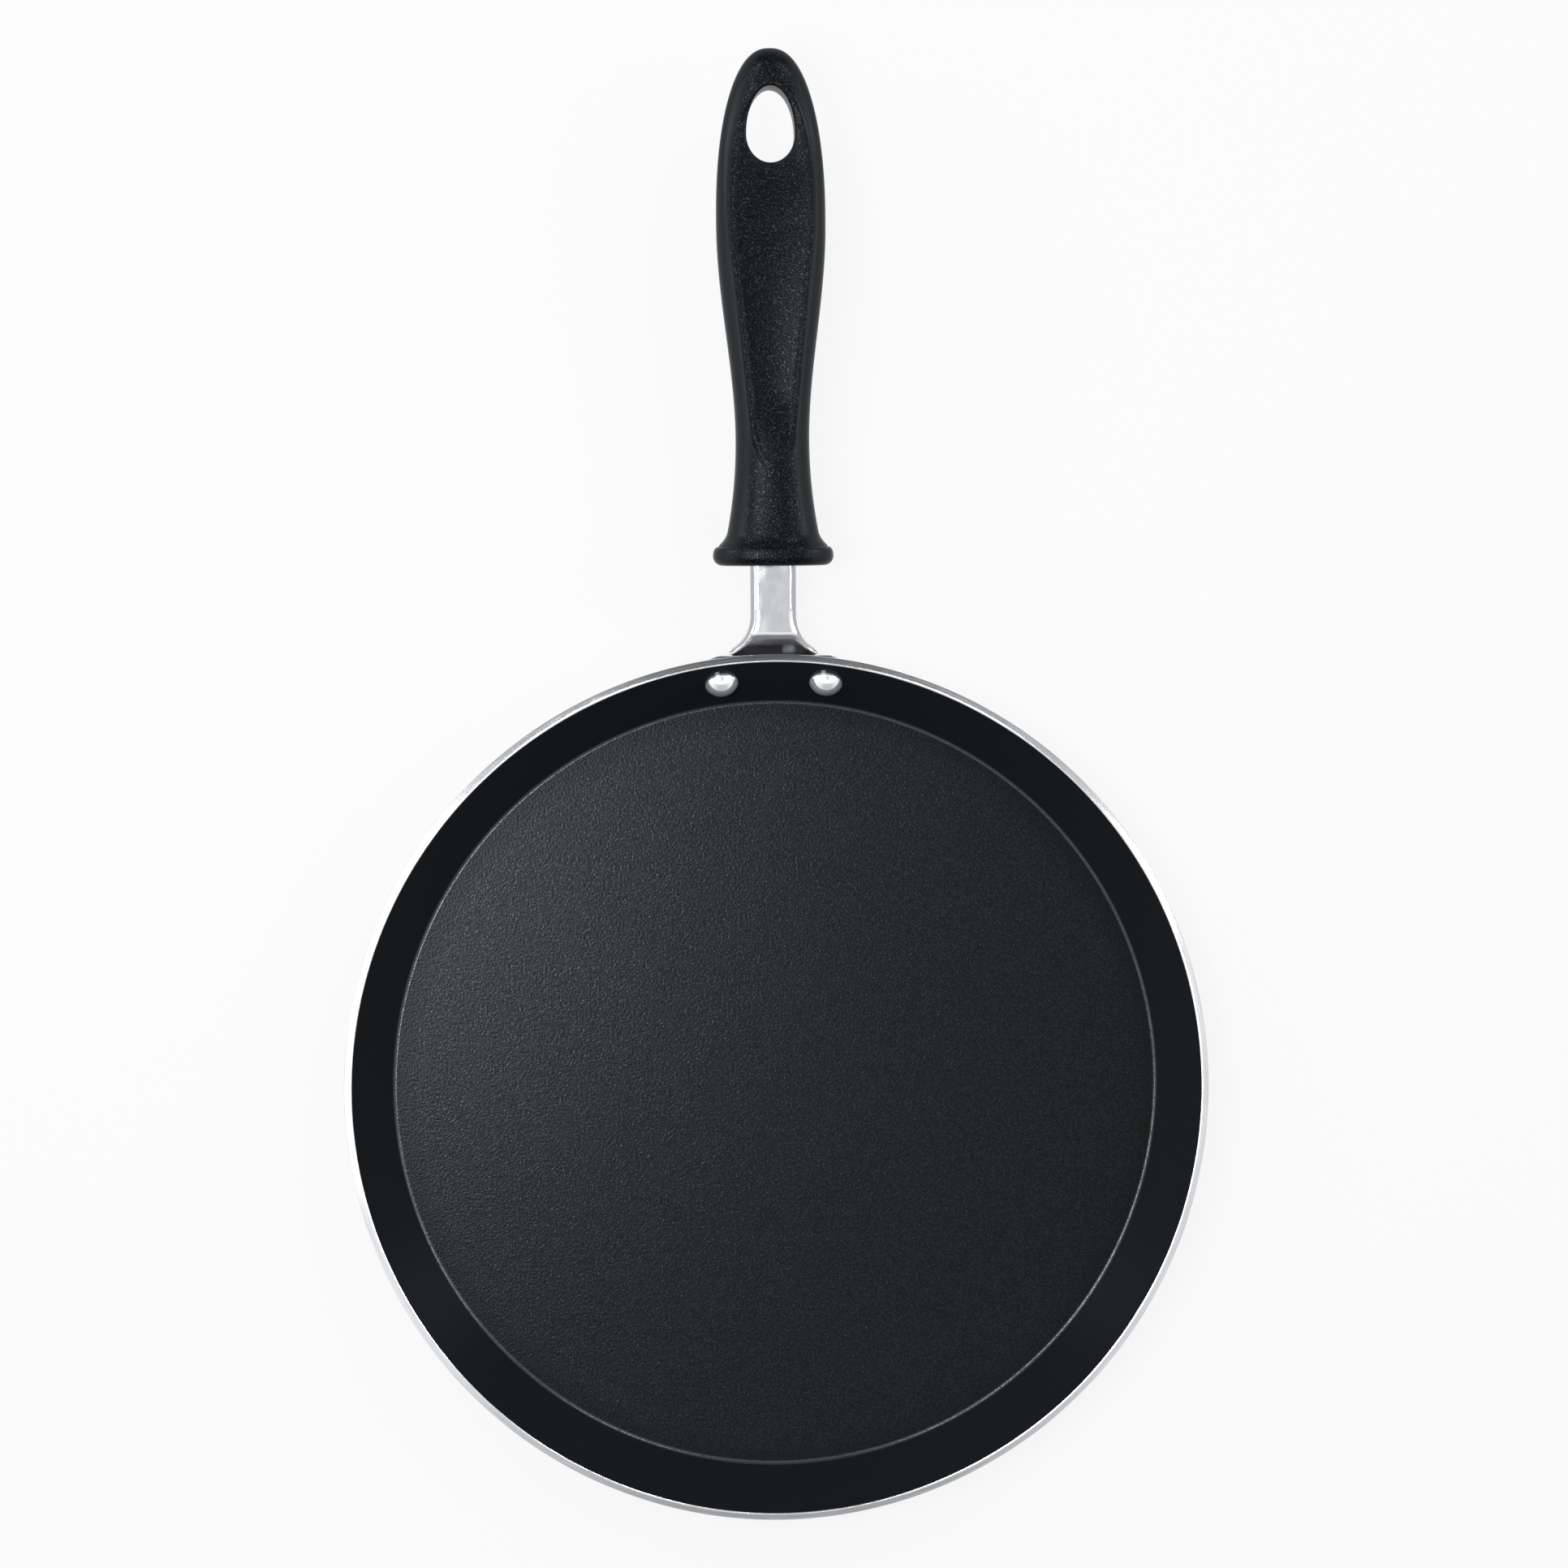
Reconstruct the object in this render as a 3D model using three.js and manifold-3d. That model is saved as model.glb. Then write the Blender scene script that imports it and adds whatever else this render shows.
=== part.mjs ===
// A riveted non-stick tawa: a pressed aluminium dish with a black coat inside, a plated steel bracket held by
// two domed rivets, and a moulded phenolic grip screwed to the tang of the bracket.
// Millimetres, +Z up. The origin is the centre of the underside and the grip points along +Y.
import * as THREE from "three";
import { mergeVertices } from "three/addons/utils/BufferGeometryUtils.js";
import Module from "manifold-3d";

const wasm = await Module();
wasm.setup();
const { clamp, degToRad, lerp, smoothstep } = THREE.MathUtils;

// Dish: a disc pressed to a flat floor and a straight sloping wall, its edge cut square to the wall
const rimDiameter = 280;
const dishSheet = 3;
const dishDepth = 19;
const wallAngle = degToRad(57);
const floorCorner = 2;
const rimRounding = 0.5;
const dishFacets = 72;

// Coat on the inside of the dish
const coatThickness = 0.1;
const coatGap = 0.05;

// Rivets, square to the wall
const rivetSpacing = 34;
const rivetBelowRim = 9.9;
const rivetHeadDiameter = 10.8;
const rivetHeadHeight = 4.8;
const rivetTailDiameter = 10.4;
const rivetTailHeight = 5;
const rivetShankDiameter = 5;
const rivetFacets = 20;
const tailRoom = 0.8;

// Bracket: two ears on the wall, a channel neck that flares towards them, and a flat tang
const bracketSheet = 2.2;
const earHeight = 13.6;
const neckWidth = 14.8;
const neckDepth = 7;
const neckInnerCorner = 0.6;
const neckLength = 28.8;
const neckRise = degToRad(5);
const neckBelowRim = 2;
const bendRun = 3.5;
const bendDrop = 3;
const flareRadius = 12.5;
const flareTopShare = 0.6;
const channelInGrip = 6;
const tangWidth = 11;
const tangInGrip = 36;

// Grip: lengths run along its spine, from the front face of the guard or from the tip
const gripLength = 165.2;
const gripTipRise = degToRad(4);
const gripBelowWeb = 1.5;
const guardWidth = 39;
const guardHeight = 27;
const guardLip = 3;
const guardEase = 8;
const guardFlare = 5.3;
const guardFlareHeight = 3;
const waistAt = 40.4;
const waistWidth = 23.8;
const waistHeight = 18.6;
const swellFromTip = 56.6;
const swellWidth = 35.2;
const swellHeight = 20;
const eyeFromTip = 27.7;
const eyeWidth = 15.6;
const eyeFront = 9;
const eyeRear = 14.9;
const eyeHeight = 13;
const tipRun = 12;
const tailFromTip = 53.5;
const tailPower = 2.1;
const tailFullness = 0.43;
const gripFullness = 2.3;

// Dished panel on top of the grip
const panelFront = 31.4;
const panelFromTip = 11.2;
const panelWidth = 27.8;
const panelFrontWidth = 12.2;
const panelFrontRun = 11;
const panelDepth = 1;
const panelFrontFade = 25;
const panelRearFade = 10;
const creaseLeast = 0.2;

// Screw and split washer that hold the grip on the tang
const screwAt = 22;
const screwDiameter = 5;
const screwHeadDiameter = 8;
const screwHeadHeight = 2.4;
const screwSeatWall = 4;
const screwPastTang = 3.5;
const driveWidth = 4.4;
const driveSlot = 0.9;
const driveDepth = 1.3;
const washerDiameter = 8.8;
const washerThickness = 1.2;
const washerSplit = degToRad(16);
const headRoom = 0.6;
const screwFacets = 20;

// Clearance between pieces that meet
const fit = 0.3;

function arc(centre, radius, from, to, steps) {
  const points = [];
  for (let step = 0; step <= steps; step += 1) {
    const angle = lerp(from, to, step / steps);
    points.push(new THREE.Vector2(
      centre.x + radius * Math.cos(angle),
      centre.y + radius * Math.sin(angle),
    ));
  }
  return points;
}

function turned(profile, facets) {
  return new THREE.LatheGeometry(profile, facets).rotateX(Math.PI / 2);
}

function solid(geometry) {
  const bare = geometry.clone();
  bare.deleteAttribute("normal");
  bare.deleteAttribute("uv");
  const joined = mergeVertices(bare);
  return new wasm.Manifold(new wasm.Mesh({
    numProp: 3,
    vertProperties: Float32Array.from(joined.attributes.position.array),
    triVerts: Uint32Array.from(joined.index.array),
  }));
}

function surface(body) {
  const { vertProperties, triVerts } = body.getMesh();
  const geometry = new THREE.BufferGeometry();
  geometry.setAttribute("position", new THREE.BufferAttribute(vertProperties, 3));
  geometry.setIndex(new THREE.BufferAttribute(triVerts, 1));
  return geometry;
}

// A closed skin over sections of equal count, each a ring in its own frame (x aside, y up, z along the path).
function loft(sections, frames) {
  const count = sections[0].length;
  const positions = [];
  sections.forEach((section, index) => {
    section.forEach((point) => {
      positions.push(...new THREE.Vector3(point.x, point.y, 0).applyMatrix4(frames[index]).toArray());
    });
  });
  const triangles = [];
  for (let ring = 0; ring < sections.length - 1; ring += 1) {
    for (let side = 0; side < count; side += 1) {
      const a = ring * count + side;
      const b = ring * count + (side + 1) % count;
      triangles.push(a, b, b + count, a, b + count, a + count);
    }
  }
  const last = (sections.length - 1) * count;
  THREE.ShapeUtils.triangulateShape(sections[0], []).forEach(([a, b, c]) => {
    triangles.push(a, c, b);
  });
  THREE.ShapeUtils.triangulateShape(sections[sections.length - 1], []).forEach(([a, b, c]) => {
    triangles.push(last + a, last + b, last + c);
  });
  const geometry = new THREE.BufferGeometry();
  geometry.setAttribute("position", new THREE.Float32BufferAttribute(positions, 3));
  geometry.setIndex(triangles);
  return geometry;
}

// The frame of a section that stands at a place on a path in the YZ plane, at an angle above +Y.
function stationFrame(y, z, angle) {
  const aside = new THREE.Vector3(-1, 0, 0);
  const up = new THREE.Vector3(0, -Math.sin(angle), Math.cos(angle));
  const along = new THREE.Vector3(0, Math.cos(angle), Math.sin(angle));
  return new THREE.Matrix4().makeBasis(aside, up, along).setPosition(0, y, z);
}

function named(name, geometry, material) {
  const mesh = new THREE.Mesh(geometry, material);
  mesh.name = name;
  return mesh;
}

// Section of the dish, radius and height. The rim edge is the sharp corner that the rounding takes off.
const wallCos = Math.cos(wallAngle);
const wallSin = Math.sin(wallAngle);
const rimEdge = new THREE.Vector2(
  rimDiameter / 2 + rimRounding * (wallCos + wallSin - 1),
  dishSheet + dishDepth - (dishSheet - rimRounding) * wallCos - rimRounding * (1 - wallSin),
);

// A place by its distance down the wall from the rim and its distance out from the wall's outer face.
function onWall(down, out) {
  return new THREE.Vector2(
    rimEdge.x - down * wallCos + out * wallSin,
    rimEdge.y - down * wallSin - out * wallCos,
  );
}

const cornerHeight = dishSheet + floorCorner;
const wallRun = (rimEdge.y - cornerHeight * (1 - wallCos)) / wallSin;
const cornerCentre = onWall(wallRun, -cornerHeight);

function corner(radius) {
  return arc(cornerCentre, radius, -Math.PI / 2, wallAngle - Math.PI / 2, 6);
}

const dishProfile = [
  new THREE.Vector2(0, 0),
  ...corner(cornerHeight),
  ...arc(onWall(rimRounding, -rimRounding), rimRounding, wallAngle - Math.PI / 2, wallAngle, 3),
  ...arc(onWall(rimRounding, rimRounding - dishSheet), rimRounding, wallAngle, wallAngle + Math.PI / 2, 3),
  ...corner(floorCorner).reverse(),
  new THREE.Vector2(0, dishSheet),
];

const coatUnder = dishSheet + coatGap;
const coatTop = coatUnder + coatThickness;
const coatProfile = [
  new THREE.Vector2(0, coatUnder),
  ...corner(cornerHeight - coatUnder),
  onWall(rimRounding, -coatUnder),
  onWall(rimRounding, -coatTop),
  ...corner(cornerHeight - coatTop).reverse(),
  new THREE.Vector2(0, coatTop),
];

// Rivet places: a frame on the outer face of the wall with +Y along the rivet, outwards.
const rivetTurn = Math.asin(rivetSpacing / 2 / onWall(rivetBelowRim, -dishSheet).x);

function rivetPlace(turn) {
  const seat = onWall(rivetBelowRim, 0);
  const place = new THREE.Group();
  place.rotation.set(wallAngle - Math.PI / 2, 0, -turn, "ZYX");
  place.position.set(seat.x * Math.sin(turn), seat.x * Math.cos(turn), seat.y);
  place.updateMatrixWorld();
  return place;
}

const rivetPlaces = [rivetPlace(-rivetTurn), rivetPlace(rivetTurn)];

function domeArc(diameter, height, steps) {
  const half = diameter / 2;
  const radius = (half ** 2 + height ** 2) / (2 * height);
  const reach = 2 * Math.atan(height / half);
  return arc(new THREE.Vector2(0, height - radius), radius, Math.PI / 2 - reach, Math.PI / 2, steps);
}

const headSeat = coatTop + fit;
const tailSeat = fit + bracketSheet + fit;
const headDome = domeArc(rivetHeadDiameter, rivetHeadHeight, 5);
const tailDome = domeArc(rivetTailDiameter, rivetTailHeight, 5);
const rivetProfile = [
  ...headDome.reverse().map((point) => new THREE.Vector2(point.x, -headSeat - point.y)),
  new THREE.Vector2(rivetShankDiameter / 2, -headSeat),
  new THREE.Vector2(rivetShankDiameter / 2, tailSeat),
  ...tailDome.map((point) => new THREE.Vector2(point.x, tailSeat + point.y)),
];

const rivetReach = headSeat + rivetHeadHeight + tailSeat + rivetTailHeight;
const rivetBore = rivetShankDiameter / 2 + fit;
const tailPocket = rivetTailDiameter / 2 + tailRoom;
const rivetHoles = rivetPlaces.map((place) => {
  const hole = new THREE.CylinderGeometry(rivetBore, rivetBore, 2 * rivetReach, rivetFacets);
  return solid(hole.applyMatrix4(place.matrixWorld));
});

function pierced(body) {
  return rivetHoles.reduce((rest, hole) => rest.subtract(hole), body);
}

const dishBody = pierced(solid(turned(dishProfile, dishFacets)));
const coatBody = pierced(solid(turned(coatProfile, dishFacets)));

// Ears: the part of a shell around the wall that lies under a round-ended outline
const earRound = earHeight / 2;
const earDown = rivetBelowRim + earRound;
const earUp = rivetBelowRim - earRound;
const earShell = turned([
  onWall(earDown + earRound, fit),
  onWall(earDown + earRound, fit + bracketSheet),
  onWall(earUp - earRound, fit + bracketSheet),
  onWall(earUp - earRound, fit),
  onWall(earDown + earRound, fit),
], dishFacets);
const earOutline = new THREE.Shape();
earOutline.absarc(rivetSpacing / 2, 0, earRound, -Math.PI / 2, Math.PI / 2);
earOutline.absarc(-rivetSpacing / 2, 0, earRound, Math.PI / 2, 1.5 * Math.PI);
const earBlock = new THREE.ExtrudeGeometry(earOutline, {
  depth: 2 * rivetSpacing,
  bevelEnabled: false,
  curveSegments: 10,
});
const earMiddle = onWall(rivetBelowRim, 0);
earBlock.translate(0, 0, -rivetSpacing);
earBlock.applyMatrix4(new THREE.Matrix4().makeRotationX(wallAngle).setPosition(0, earMiddle.x, earMiddle.y));
const ears = solid(earShell).intersect(solid(earBlock));

// Neck: a channel along +Y of the neck's frame, its web's top at height zero where it clears the rim
const neckFrame = new THREE.Group();
neckFrame.rotation.x = neckRise;
neckFrame.position.set(0, rimDiameter / 2, rimEdge.y - neckBelowRim);
neckFrame.updateMatrixWorld();

const neckCorner = neckInnerCorner + bracketSheet;

function channelHalf(along, inset) {
  const left = flareRadius - clamp(along, 0, flareRadius);
  const flare = flareRadius - Math.sqrt(flareRadius ** 2 - left ** 2);
  const drop = bendDrop * (1 - smoothstep(along, -bendRun, bendRun));
  const middle = new THREE.Vector2(
    neckWidth / 2 + flareTopShare * flare - neckCorner,
    -drop - neckCorner,
  );
  return [
    new THREE.Vector2(neckWidth / 2 + flare - inset, -neckDepth),
    ...arc(middle, neckCorner - inset, 0, Math.PI / 2, 4),
  ];
}

function mirrored(points) {
  return points.map((point) => new THREE.Vector2(-point.x, point.y)).reverse();
}

function channelSection(along) {
  const outer = channelHalf(along, 0);
  const inner = channelHalf(along, bracketSheet);
  return [...outer, ...mirrored(outer), ...[...inner, ...mirrored(inner)].reverse()];
}

const neckStart = -neckDepth - bendRun;
const neckStations = [neckStart];
for (let step = 0; step <= 8; step += 1) {
  neckStations.push(lerp(-bendRun, bendRun, step / 8));
}
for (let step = 1; step <= 5; step += 1) {
  neckStations.push(lerp(bendRun, Math.max(flareRadius, 2 * bendRun), step / 5));
}
neckStations.push(neckLength + channelInGrip);
const channel = loft(
  neckStations.map(channelSection),
  neckStations.map((along) => stationFrame(along, 0, 0)),
);

// Plan of a round-ended strip along +Y, for the tang and for the slot that takes it
function stripPlan(width, from, to) {
  const plan = new THREE.Shape();
  plan.moveTo(-width / 2, from);
  plan.lineTo(width / 2, from);
  plan.absarc(0, to - width / 2, width / 2, 0, Math.PI);
  return plan;
}

const tang = new THREE.ExtrudeGeometry(stripPlan(tangWidth, neckLength / 2, neckLength + tangInGrip), {
  depth: bracketSheet,
  bevelEnabled: false,
  curveSegments: 8,
});
tang.translate(0, 0, -bracketSheet);
const tangBore = screwDiameter / 2 + fit;
const tangHole = new THREE.CylinderGeometry(tangBore, tangBore, 4 * bracketSheet, screwFacets);
tangHole.rotateX(Math.PI / 2);
tangHole.translate(0, neckLength + screwAt, 0);
const neck = solid(channel).add(solid(tang)).subtract(solid(tangHole));

// Everything within the middle of the ears' sheet, where the neck ends
const earMid = fit + bracketSheet / 2;
const keepClear = turned([
  new THREE.Vector2(0, onWall(2 * wallRun, earMid).y),
  onWall(2 * wallRun, earMid),
  onWall(0, earMid),
  new THREE.Vector2(onWall(0, earMid).x, 2 * rimEdge.y),
  new THREE.Vector2(0, 2 * rimEdge.y),
], dishFacets);
const neckInPlace = solid(surface(neck).applyMatrix4(neckFrame.matrixWorld));
const tailPockets = rivetPlaces.map((place) => {
  const pocket = new THREE.CylinderGeometry(tailPocket, tailPocket, rivetReach, rivetFacets);
  pocket.translate(0, fit + bracketSheet + rivetReach / 2, 0);
  return solid(pocket.applyMatrix4(place.matrixWorld));
});
const neckByTails = tailPockets.reduce((rest, pocket) => rest.subtract(pocket), neckInPlace);
const bracketBody = pierced(neckByTails.subtract(solid(keepClear)).add(ears));

// Grip: its frame stands at the middle of the guard's front face, +Y along the neck
const gripFrame = new THREE.Group();
gripFrame.rotation.x = neckRise;
gripFrame.position.set(0, neckLength, -gripBelowWeb).applyMatrix4(neckFrame.matrixWorld);

const swellAt = gripLength - swellFromTip;
const eyeAt = gripLength - eyeFromTip;
const tailAt = gripLength - tailFromTip;
const panelRear = gripLength - panelFromTip;
const gripBend = gripTipRise - neckRise;
const gripTip = new THREE.Vector3(0, Math.cos(gripBend / 2), Math.sin(gripBend / 2)).multiplyScalar(gripLength);
const gripSpine = new THREE.CubicBezierCurve3(
  new THREE.Vector3(0, 0, 0),
  new THREE.Vector3(0, gripLength / 3, 0),
  new THREE.Vector3(0, -Math.cos(gripBend), -Math.sin(gripBend)).multiplyScalar(gripLength / 3).add(gripTip),
  gripTip,
);

function spineFrame(along) {
  const share = along / gripLength;
  const place = gripSpine.getPointAt(share);
  const heading = gripSpine.getTangentAt(share);
  return stationFrame(place.y, place.z, Math.atan2(heading.z, heading.y));
}

// Half size of the moulding between guard and tip, from the sizes at the guard, the waist and the swell
function bodyHalf(along, flare, waist, swell) {
  if (along < waistAt) {
    return waist / 2 + flare * (1 - along / waistAt) ** 2;
  }
  return lerp(waist, swell, smoothstep(along, waistAt, swellAt)) / 2;
}

// The guard's round lip in front, eased into the moulding behind it
function withGuard(along, body, guard) {
  const bead = Math.sqrt(Math.max(0, guardLip ** 2 - (along - guardLip) ** 2));
  const behind = Math.max(0, along - 2 * guardLip);
  const lip = guard / 2 - guardLip + bead - 2 * behind;
  if (along <= guardLip) {
    return lip;
  }
  const blend = Math.max(0, 1 - Math.abs(body - lip) / guardEase);
  const onset = smoothstep(along, guardLip, guardLip + guardEase / 2);
  return Math.max(body, lip) + onset * blend ** 2 * guardEase / 4;
}

// Share of the full width that is left in the round tail which closes at a given length
function tailShare(along, end) {
  const past = clamp((along - tailAt) / (end - tailAt), 0, 1);
  return (1 - past ** tailPower) ** tailFullness;
}

function gripHalfWidth(along) {
  const body = bodyHalf(along, guardFlare, waistWidth, swellWidth) * tailShare(along, gripLength);
  return withGuard(along, body, guardWidth);
}

function gripHalfHeight(along) {
  const thinned = smoothstep(along, swellAt, eyeAt);
  const past = Math.max(0, along - gripLength + tipRun) / tipRun;
  const body = lerp(bodyHalf(along, guardFlareHeight, waistHeight, swellHeight), eyeHeight / 2, thinned);
  return withGuard(along, body * Math.sqrt(1 - past ** 2), guardHeight);
}

// Half width of the dished panel: a rounded front, straight flanks to the swell and a full rear
function panelHalf(along) {
  const fromFront = clamp((along - panelFront) / panelFrontRun, 0, 1);
  const flank = lerp(panelFrontWidth, panelWidth, clamp((along - panelFront) / (swellAt - panelFront), 0, 1));
  return flank / 2 * Math.sqrt(1 - (1 - fromFront) ** 2) * tailShare(along, panelRear);
}

function gripSection(along) {
  const width = gripHalfWidth(along);
  const height = gripHalfHeight(along);
  const crease = Math.max(panelHalf(along), width * creaseLeast);
  const sunk = smoothstep(along, panelFront, panelFront + panelFrontFade)
    * (1 - smoothstep(along, panelRear - panelRearFade, panelRear));
  const depth = panelDepth * sunk;
  const crown = (aside) => height * (1 - (Math.abs(aside) / width) ** gripFullness) ** (1 / gripFullness);
  const ring = [];
  const panelSteps = 6;
  for (let step = 0; step <= panelSteps; step += 1) {
    const aside = crease * (1 - 2 * step / panelSteps);
    const dished = crown(crease) - depth * (1 - (aside / crease) ** 2);
    ring.push(new THREE.Vector2(aside, lerp(crown(aside), dished, sunk)));
  }
  const creaseAngle = Math.acos((crease / width) ** (gripFullness / 2));
  const flankSteps = 20;
  for (let step = 1; step < flankSteps; step += 1) {
    const angle = lerp(Math.PI - creaseAngle, 2 * Math.PI + creaseAngle, step / flankSteps);
    ring.push(new THREE.Vector2(
      width * Math.sign(Math.cos(angle)) * Math.abs(Math.cos(angle)) ** (2 / gripFullness),
      height * Math.sign(Math.sin(angle)) * Math.abs(Math.sin(angle)) ** (2 / gripFullness),
    ));
  }
  return ring;
}

const gripStations = [];
for (let step = 0; step < 8; step += 1) {
  gripStations.push(guardLip * (1 - Math.cos(Math.PI * step / 8)));
}
for (let step = 0; step < 4; step += 1) {
  gripStations.push(2 * guardLip + guardEase * step / 4);
}
for (let step = 0; step < 18; step += 1) {
  gripStations.push(lerp(2 * guardLip + guardEase, gripLength - tipRun, step / 18));
}
for (let step = 0; step < 8; step += 1) {
  gripStations.push(gripLength - tipRun * (1 - Math.sin(Math.PI / 2 * step / 8)));
}
const gripBlank = solid(loft(gripStations.map(gripSection), gripStations.map(spineFrame)));

// Hanging eye: an egg whose blunt end faces the dish
const eyeOutline = new THREE.Shape();
eyeOutline.absellipse(0, 0, eyeWidth / 2, eyeRear, 0, Math.PI);
eyeOutline.absellipse(0, 0, eyeWidth / 2, eyeFront, Math.PI, 2 * Math.PI);
const eyeCut = new THREE.ExtrudeGeometry(eyeOutline, {
  depth: 4 * eyeHeight,
  bevelEnabled: false,
  curveSegments: 14,
});
eyeCut.translate(0, 0, -2 * eyeHeight);
const eyePlace = gripSpine.getPointAt(eyeAt / gripLength);
const eyeHeading = gripSpine.getTangentAt(eyeAt / gripLength);
eyeCut.rotateX(Math.atan2(eyeHeading.z, eyeHeading.y));
eyeCut.translate(0, eyePlace.y, eyePlace.z);

// Socket for the end of the channel, slot for the tang, and the screw's stepped hole from below
const socketHalf = [
  new THREE.Vector2(neckWidth / 2 + fit, gripBelowWeb - neckDepth - fit),
  ...arc(
    new THREE.Vector2(neckWidth / 2 - neckCorner, gripBelowWeb - neckCorner),
    neckCorner + fit,
    0,
    Math.PI / 2,
    4,
  ),
];
const socketSection = [...socketHalf, ...mirrored(socketHalf)];
const socketEnds = [-guardLip, channelInGrip + fit];
const socket = loft(
  socketEnds.map(() => socketSection),
  socketEnds.map((along) => stationFrame(along, 0, 0)),
);
const slot = new THREE.ExtrudeGeometry(stripPlan(tangWidth + 2 * fit, 0, tangInGrip + fit), {
  depth: bracketSheet + 2 * fit,
  bevelEnabled: false,
  curveSegments: 8,
});
slot.translate(0, 0, gripBelowWeb - bracketSheet - fit);

const screwSeat = gripBelowWeb - bracketSheet - fit - screwSeatWall;
const screwTip = gripBelowWeb + screwPastTang;

function boreUp(diameter, from, to) {
  const bore = new THREE.CylinderGeometry(diameter / 2, diameter / 2, to - from, screwFacets);
  bore.rotateX(Math.PI / 2);
  bore.translate(0, screwAt, (from + to) / 2);
  return solid(bore);
}

const counterbore = boreUp(washerDiameter + 2 * headRoom, screwSeat - guardHeight, screwSeat);
const screwBore = boreUp(screwDiameter + 2 * fit, screwSeat - fit, screwTip + fit);
const gripBody = [solid(eyeCut), solid(socket), solid(slot), counterbore, screwBore]
  .reduce((rest, cut) => rest.subtract(cut), gripBlank);

const washerTop = screwSeat - fit;
const headTop = washerTop - washerThickness - fit;
const headFoot = headTop - screwHeadHeight;
const screwTurned = solid(turned([
  new THREE.Vector2(0, headFoot),
  new THREE.Vector2(screwHeadDiameter / 2 - screwHeadHeight / 3, headFoot),
  new THREE.Vector2(screwHeadDiameter / 2, headFoot + screwHeadHeight / 2),
  new THREE.Vector2(screwHeadDiameter / 2, headTop),
  new THREE.Vector2(screwDiameter / 2, headTop),
  new THREE.Vector2(screwDiameter / 2, screwTip - screwDiameter / 5),
  new THREE.Vector2(screwDiameter / 3, screwTip),
  new THREE.Vector2(0, screwTip),
], screwFacets));
const driveCuts = [[driveWidth, driveSlot], [driveSlot, driveWidth]].map(([wide, long]) => {
  const slotCut = new THREE.BoxGeometry(wide, long, 2 * driveDepth);
  return solid(slotCut.translate(0, 0, headFoot));
});
const screwBody = driveCuts.reduce((rest, cut) => rest.subtract(cut), screwTurned);

const washerPlan = new THREE.Shape();
const washerBore = screwDiameter / 2 + fit;
washerPlan.absarc(0, 0, washerDiameter / 2, washerSplit / 2, 2 * Math.PI - washerSplit / 2);
washerPlan.absarc(0, 0, washerBore, 2 * Math.PI - washerSplit / 2, washerSplit / 2, true);
const washer = new THREE.ExtrudeGeometry(washerPlan, {
  depth: washerThickness,
  bevelEnabled: false,
  curveSegments: 10,
});

// Finishes
const aluminium = new THREE.MeshStandardMaterial({ color: 0xb9bcbe, roughness: 0.35, metalness: 1 });
const rivetMetal = new THREE.MeshStandardMaterial({ color: 0xc6c8ca, roughness: 0.2, metalness: 1 });
const nonstick = new THREE.MeshStandardMaterial({ color: 0x17181a, roughness: 0.5, metalness: 0 });
const plating = new THREE.MeshStandardMaterial({ color: 0xc3c5c8, roughness: 0.18, metalness: 1 });
const phenolic = new THREE.MeshStandardMaterial({ color: 0x1a1b1d, roughness: 0.45, metalness: 0 });
const steel = new THREE.MeshStandardMaterial({ color: 0x9a9ca0, roughness: 0.35, metalness: 1 });

// Assembly
const tawa = new THREE.Group();
tawa.name = "tawa";
tawa.add(named("pan_body", surface(dishBody), aluminium));
tawa.add(named("nonstick_coating", surface(coatBody), nonstick));
["rivet_left", "rivet_right"].forEach((name, index) => {
  const rivet = new THREE.LatheGeometry(rivetProfile, rivetFacets);
  rivetPlaces[index].add(named(name, rivet, rivetMetal));
  tawa.add(rivetPlaces[index]);
});
tawa.add(named("handle_bracket", surface(bracketBody), plating));

const screwMesh = named("handle_screw", surface(screwBody), steel);
screwMesh.position.y = screwAt;
const washerMesh = named("lock_washer", washer, steel);
washerMesh.position.set(0, screwAt, washerTop - washerThickness);
gripFrame.add(named("handle_grip", surface(gripBody), phenolic), screwMesh, washerMesh);
tawa.add(gripFrame);

export default tawa;
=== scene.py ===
# %% [markdown]
# # A tawa, piece by piece
# A tawa is a shallow griddle pan for flatbread. This one is a pressed aluminium dish with a black
# non-stick coat inside, a plated steel bracket on two rivets, and a moulded black grip.
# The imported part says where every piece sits. This lesson puts a finer piece in the place of each
# plain solid, gives every piece its finish, and lights the whole as in a small studio.

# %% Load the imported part
import math

import bmesh
import bpy
import numpy as np
from mathutils import Euler, Matrix, Vector


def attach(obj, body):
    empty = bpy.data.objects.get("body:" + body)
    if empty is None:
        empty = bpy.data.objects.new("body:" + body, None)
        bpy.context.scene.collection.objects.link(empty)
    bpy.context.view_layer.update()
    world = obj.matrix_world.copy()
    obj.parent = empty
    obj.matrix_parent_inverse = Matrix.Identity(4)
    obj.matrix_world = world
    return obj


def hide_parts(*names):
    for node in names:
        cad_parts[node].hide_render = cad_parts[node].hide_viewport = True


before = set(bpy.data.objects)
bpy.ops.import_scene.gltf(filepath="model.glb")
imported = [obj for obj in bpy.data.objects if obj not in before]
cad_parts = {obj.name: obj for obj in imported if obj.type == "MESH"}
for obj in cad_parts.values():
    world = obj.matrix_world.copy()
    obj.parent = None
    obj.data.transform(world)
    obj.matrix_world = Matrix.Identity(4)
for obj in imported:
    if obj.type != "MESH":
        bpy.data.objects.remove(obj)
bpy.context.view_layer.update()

print("solids:", ", ".join(sorted(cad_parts)))

# %% [markdown]
# ## Writing node trees as sums
# Geometry and finishes are both written as node trees. Dragging noodles is fine by hand, but in a
# script a tree reads best as arithmetic. `Term` wraps one output socket, and each operator on it
# adds a Math node. `Sheet` holds the tree, and its `node` method adds any other kind of node.

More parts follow.
